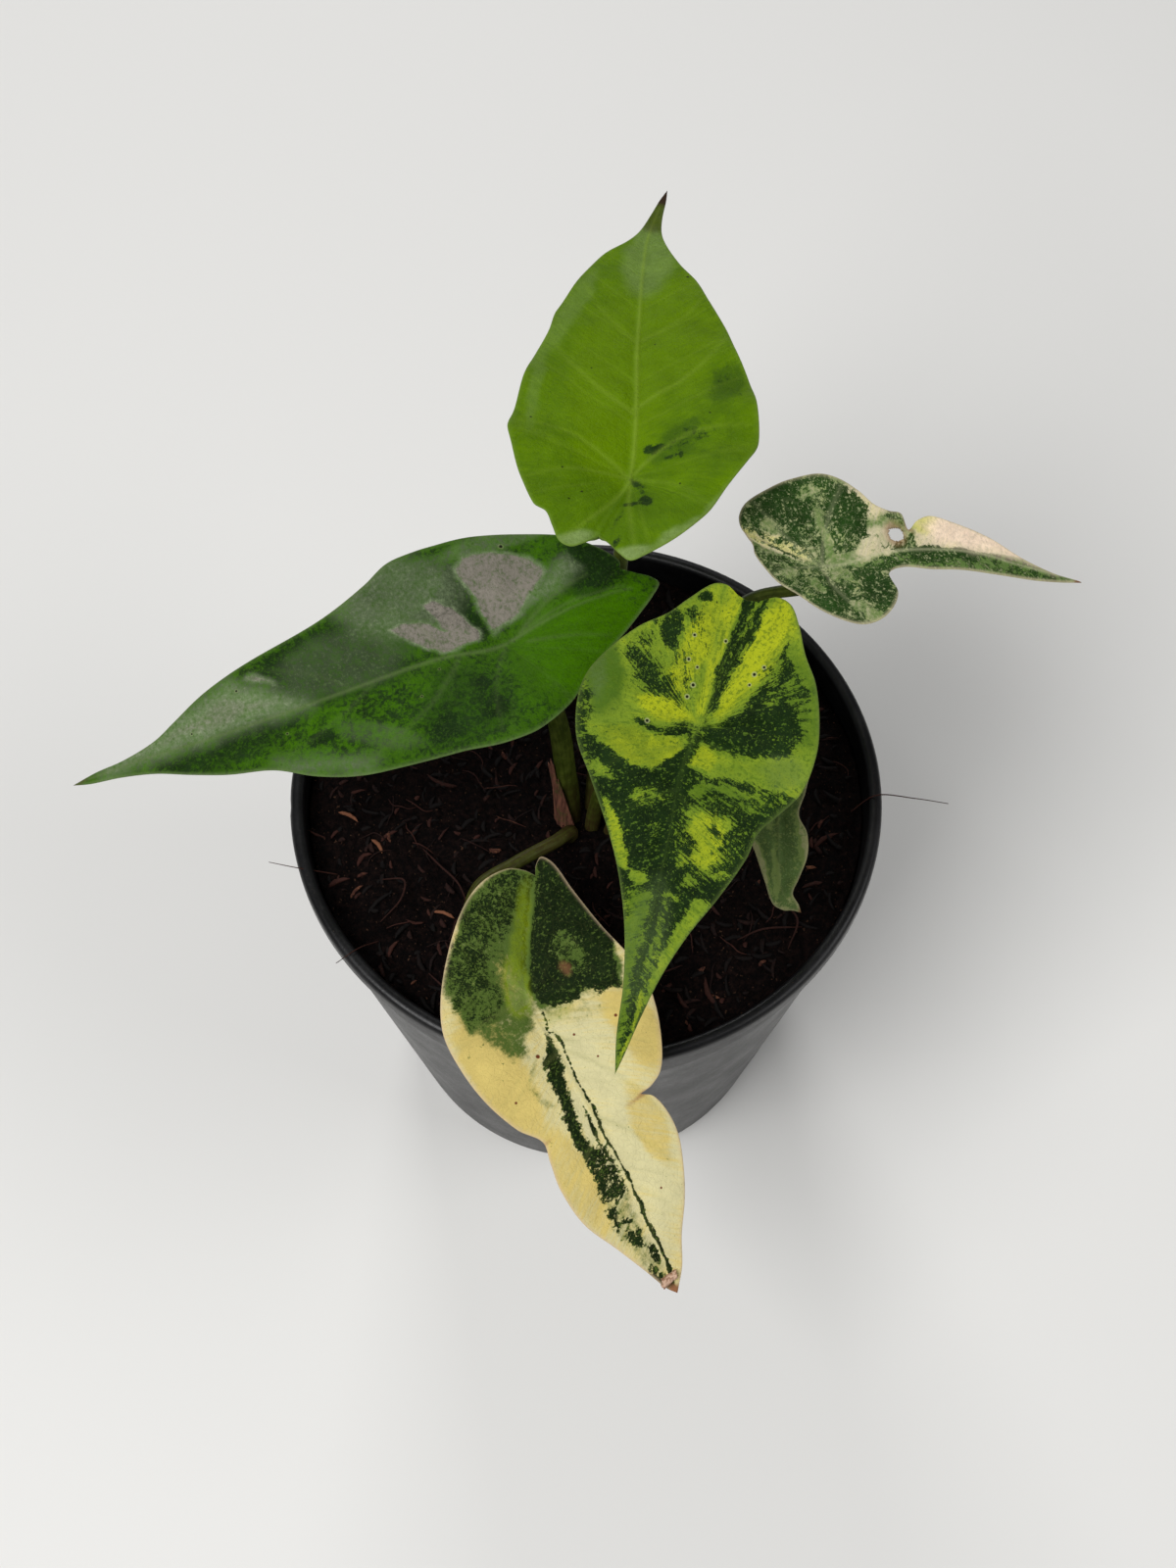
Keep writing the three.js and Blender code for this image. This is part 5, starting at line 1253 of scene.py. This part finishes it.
def coir_bits(material):
    """Slivers of coir and bark on the soil: a six-sided spindle each, turned and squashed at random.

    Most are short: the half length goes from 0.8 to 3.4 mm with a power of 2.2. girth is the share
    of the full width at each station along the spindle."""
    rng = np.random.default_rng(SEEDS["bits"])
    spread = np.sqrt(rng.random(BITS)) * BITS_REACH
    turn = rng.random(BITS) * 2 * np.pi
    x, y = spread * np.cos(turn), spread * np.sin(turn)
    keep = np.hypot(x, y + 3) > 7
    x, y = x[keep], y[keep]
    count = len(x)
    way = rng.random(count) * np.pi
    length = 0.8 + 2.6 * rng.random(count) ** 2.2
    width = 0.28 + 0.3 * rng.random(count)
    shade = rng.random(count) ** 2.2 * 0.8
    tilt = rng.normal(0, 0.22, count)
    bright = np.array(BRIGHT_BITS, float).T
    more = [bright[0], bright[1], np.radians(bright[2]), bright[3] / 2.5,
            np.full(len(BRIGHT_BITS), 0.45), bright[4], np.full(len(BRIGHT_BITS), 0.05)]
    drawn = [x, y, way, length, width, shade, tilt]
    x, y, way, length, width, shade, tilt = (np.concatenate(pair) for pair in zip(drawn, more))
    stations = np.array([-1, -0.75, -0.1, 0.6, 1])
    girth = np.array([0.12, 0.8, 1.0, 0.75, 0.1])
    a = angles(6)
    jitter = 1 + 0.35 * (rng.random((len(x), 5, 6)) - 0.5)
    ahead = np.stack([np.cos(way) * np.cos(tilt), np.sin(way) * np.cos(tilt), np.sin(tilt)], -1)
    side = np.stack([-np.sin(way), np.cos(way), np.zeros_like(way)], -1)
    up = np.cross(ahead, side)
    bow = 0.25 * (1 - stations ** 2)
    centre = np.stack([x, y, soil_height(x, y) + soil_crumbs(x, y) + 0.35 * width], -1)
    spine = (centre[:, None] + ahead[:, None] * (stations[None] * length[:, None])[..., None]
             + side[:, None] * (bow[None] * length[:, None])[..., None])
    reach = width[:, None, None] * girth[None, :, None] * jitter
    points = (spine[:, :, None] + side[:, None, None] * (reach * np.cos(a))[..., None]
              + up[:, None, None] * (0.6 * reach * np.sin(a))[..., None])
    tips = [[0, 5, 4, 3], [0, 3, 2, 1], [24, 25, 26, 27], [24, 27, 28, 29]]
    faces = np.concatenate([grid_faces(5, 6), tips])
    faces = (faces[None] + 30 * np.arange(len(x))[:, None, None]).reshape(-1, 4)
    new_piece("coir_slivers", points, faces, material,
              fields={"shade": np.repeat(shade, 30)})


def strands(name, parts, material):
    """One piece from many thin tubes, each given as its path, radii, sides and shade."""
    points, faces, shades, start = [], [], [], 0
    for path, radii, sides, shade in parts:
        more, corners = tube(path, radii, sides)
        points.append(more)
        faces.append(corners + start)
        shades.append(np.full(len(more), shade))
        start += len(more)
    new_piece(name, np.concatenate(points), np.concatenate(faces), material,
              fields={"shade": np.concatenate(shades)})


def coir_fibres(material):
    """Curled coir fibres on the soil: thin round tubes along smooth routes."""
    rng = np.random.default_rng(SEEDS["fibres"])
    on_soil = lambda x, y, lift: (x, y, float(soil_height(x, y)) + lift)
    parts = []
    for route in FIBRES:
        path = centripetal([on_soil(*place) for place in route], 26)
        parts.append((path, 0.2 * np.sin(np.linspace(0.35, 2.9, 26)) + 0.04, 6, 0.5))
    for _ in range(LOOSE_FIBRES):
        r, turn = 52 * math.sqrt(rng.random()), rng.random() * 2 * math.pi
        x, y = r * math.cos(turn), r * math.sin(turn)
        way, bend = rng.random() * 2 * math.pi, rng.normal(0, 0.35, 4)
        route = []
        for j in range(5):
            if math.hypot(x, y) < 55:
                lift = 0.3 + 0.9 * math.sin(j / 4 * math.pi) * rng.random()
                route.append(on_soil(x, y, lift))
            x, y = x + 1.7 * math.cos(way), y + 1.7 * math.sin(way)
            way += bend[min(j, 3)]
        if len(route) > 2:
            radii = 0.11 * np.sin(np.linspace(0.4, 2.8, 14)) + 0.03
            parts.append((centripetal(route, 14), radii, 5, 0.25 + 0.5 * rng.random()))
    strands("coir_fibres", parts, material)


def stray_hairs(material):
    """Three hairs of coir that reach over the lip."""
    radii = np.linspace(0.16, 0.07, 24)
    strands("stray_hairs", [(centripetal(route, 24), radii, 6, 0.7) for route in HAIRS], material)


def floor():
    """Plain pale floor."""
    corners = [(x * FLOOR_HALF, y * FLOOR_HALF, 0) for x, y in ((-1, -1), (1, -1), (1, 1), (-1, 1))]
    mesh = bpy.data.meshes.new("floor")
    mesh.from_pydata(corners, [], [(0, 1, 2, 3)])
    r = Recipe("floor_paint", 0.7)
    r.set(r.skin, {"Base Color": colour(229, 228, 225)})
    mesh.materials.append(r.material)
    plane = add("floor", mesh)
    plane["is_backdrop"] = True


def camera():
    """Camera at the photograph's viewing angle."""
    data = bpy.data.cameras.new("camera")
    data.sensor_width = SENSOR
    data.lens = FOCAL_PIXELS * SENSOR / LONG_SIDE_PIXELS
    data.clip_start, data.clip_end = 0.01, 20
    eye = add("camera", data)
    rise = math.radians(CAMERA_RISE)
    forward = Vector((0, math.cos(rise), -math.sin(rise)))
    eye.location = (Vector(CAMERA_AIM) - forward * CAMERA_REACH) * MM
    eye.rotation_euler = forward.to_track_quat("-Z", "Y").to_euler()
    bpy.context.scene.camera = eye


def lights():
    """Soft boxes that face their aims, and a faint even surround."""
    for name, place, aim, size, power in SOFT_BOXES:
        data = bpy.data.lights.new(name, "AREA")
        data.shape = "SQUARE"
        data.size = size
        data.energy = power
        lamp = add(name, data)
        lamp.location = place
        lamp.rotation_euler = (Vector(aim) - Vector(place)).to_track_quat("-Z", "Y").to_euler()
    world = bpy.data.worlds.new("surround")
    world.use_nodes = True
    back = world.node_tree.nodes["Background"]
    back.inputs["Color"].default_value = SURROUND_TINT
    back.inputs["Strength"].default_value = SURROUND_LEVEL
    bpy.context.scene.world = world
    bpy.context.scene.view_settings.view_transform = "Standard"


camera()
floor()
lights()
pot()
soil()
bits = bits_skin()
coir_bits(bits)
coir_fibres(bits)
stray_hairs(bits)
stalk = stalk_skin()
for leaf_name in LEAVES:
    blade(leaf_name)
    petiole(leaf_name, stalk)
sheath()
dry_tip()

{"cad": cad_box, "visual": [list(corner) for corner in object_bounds()]}
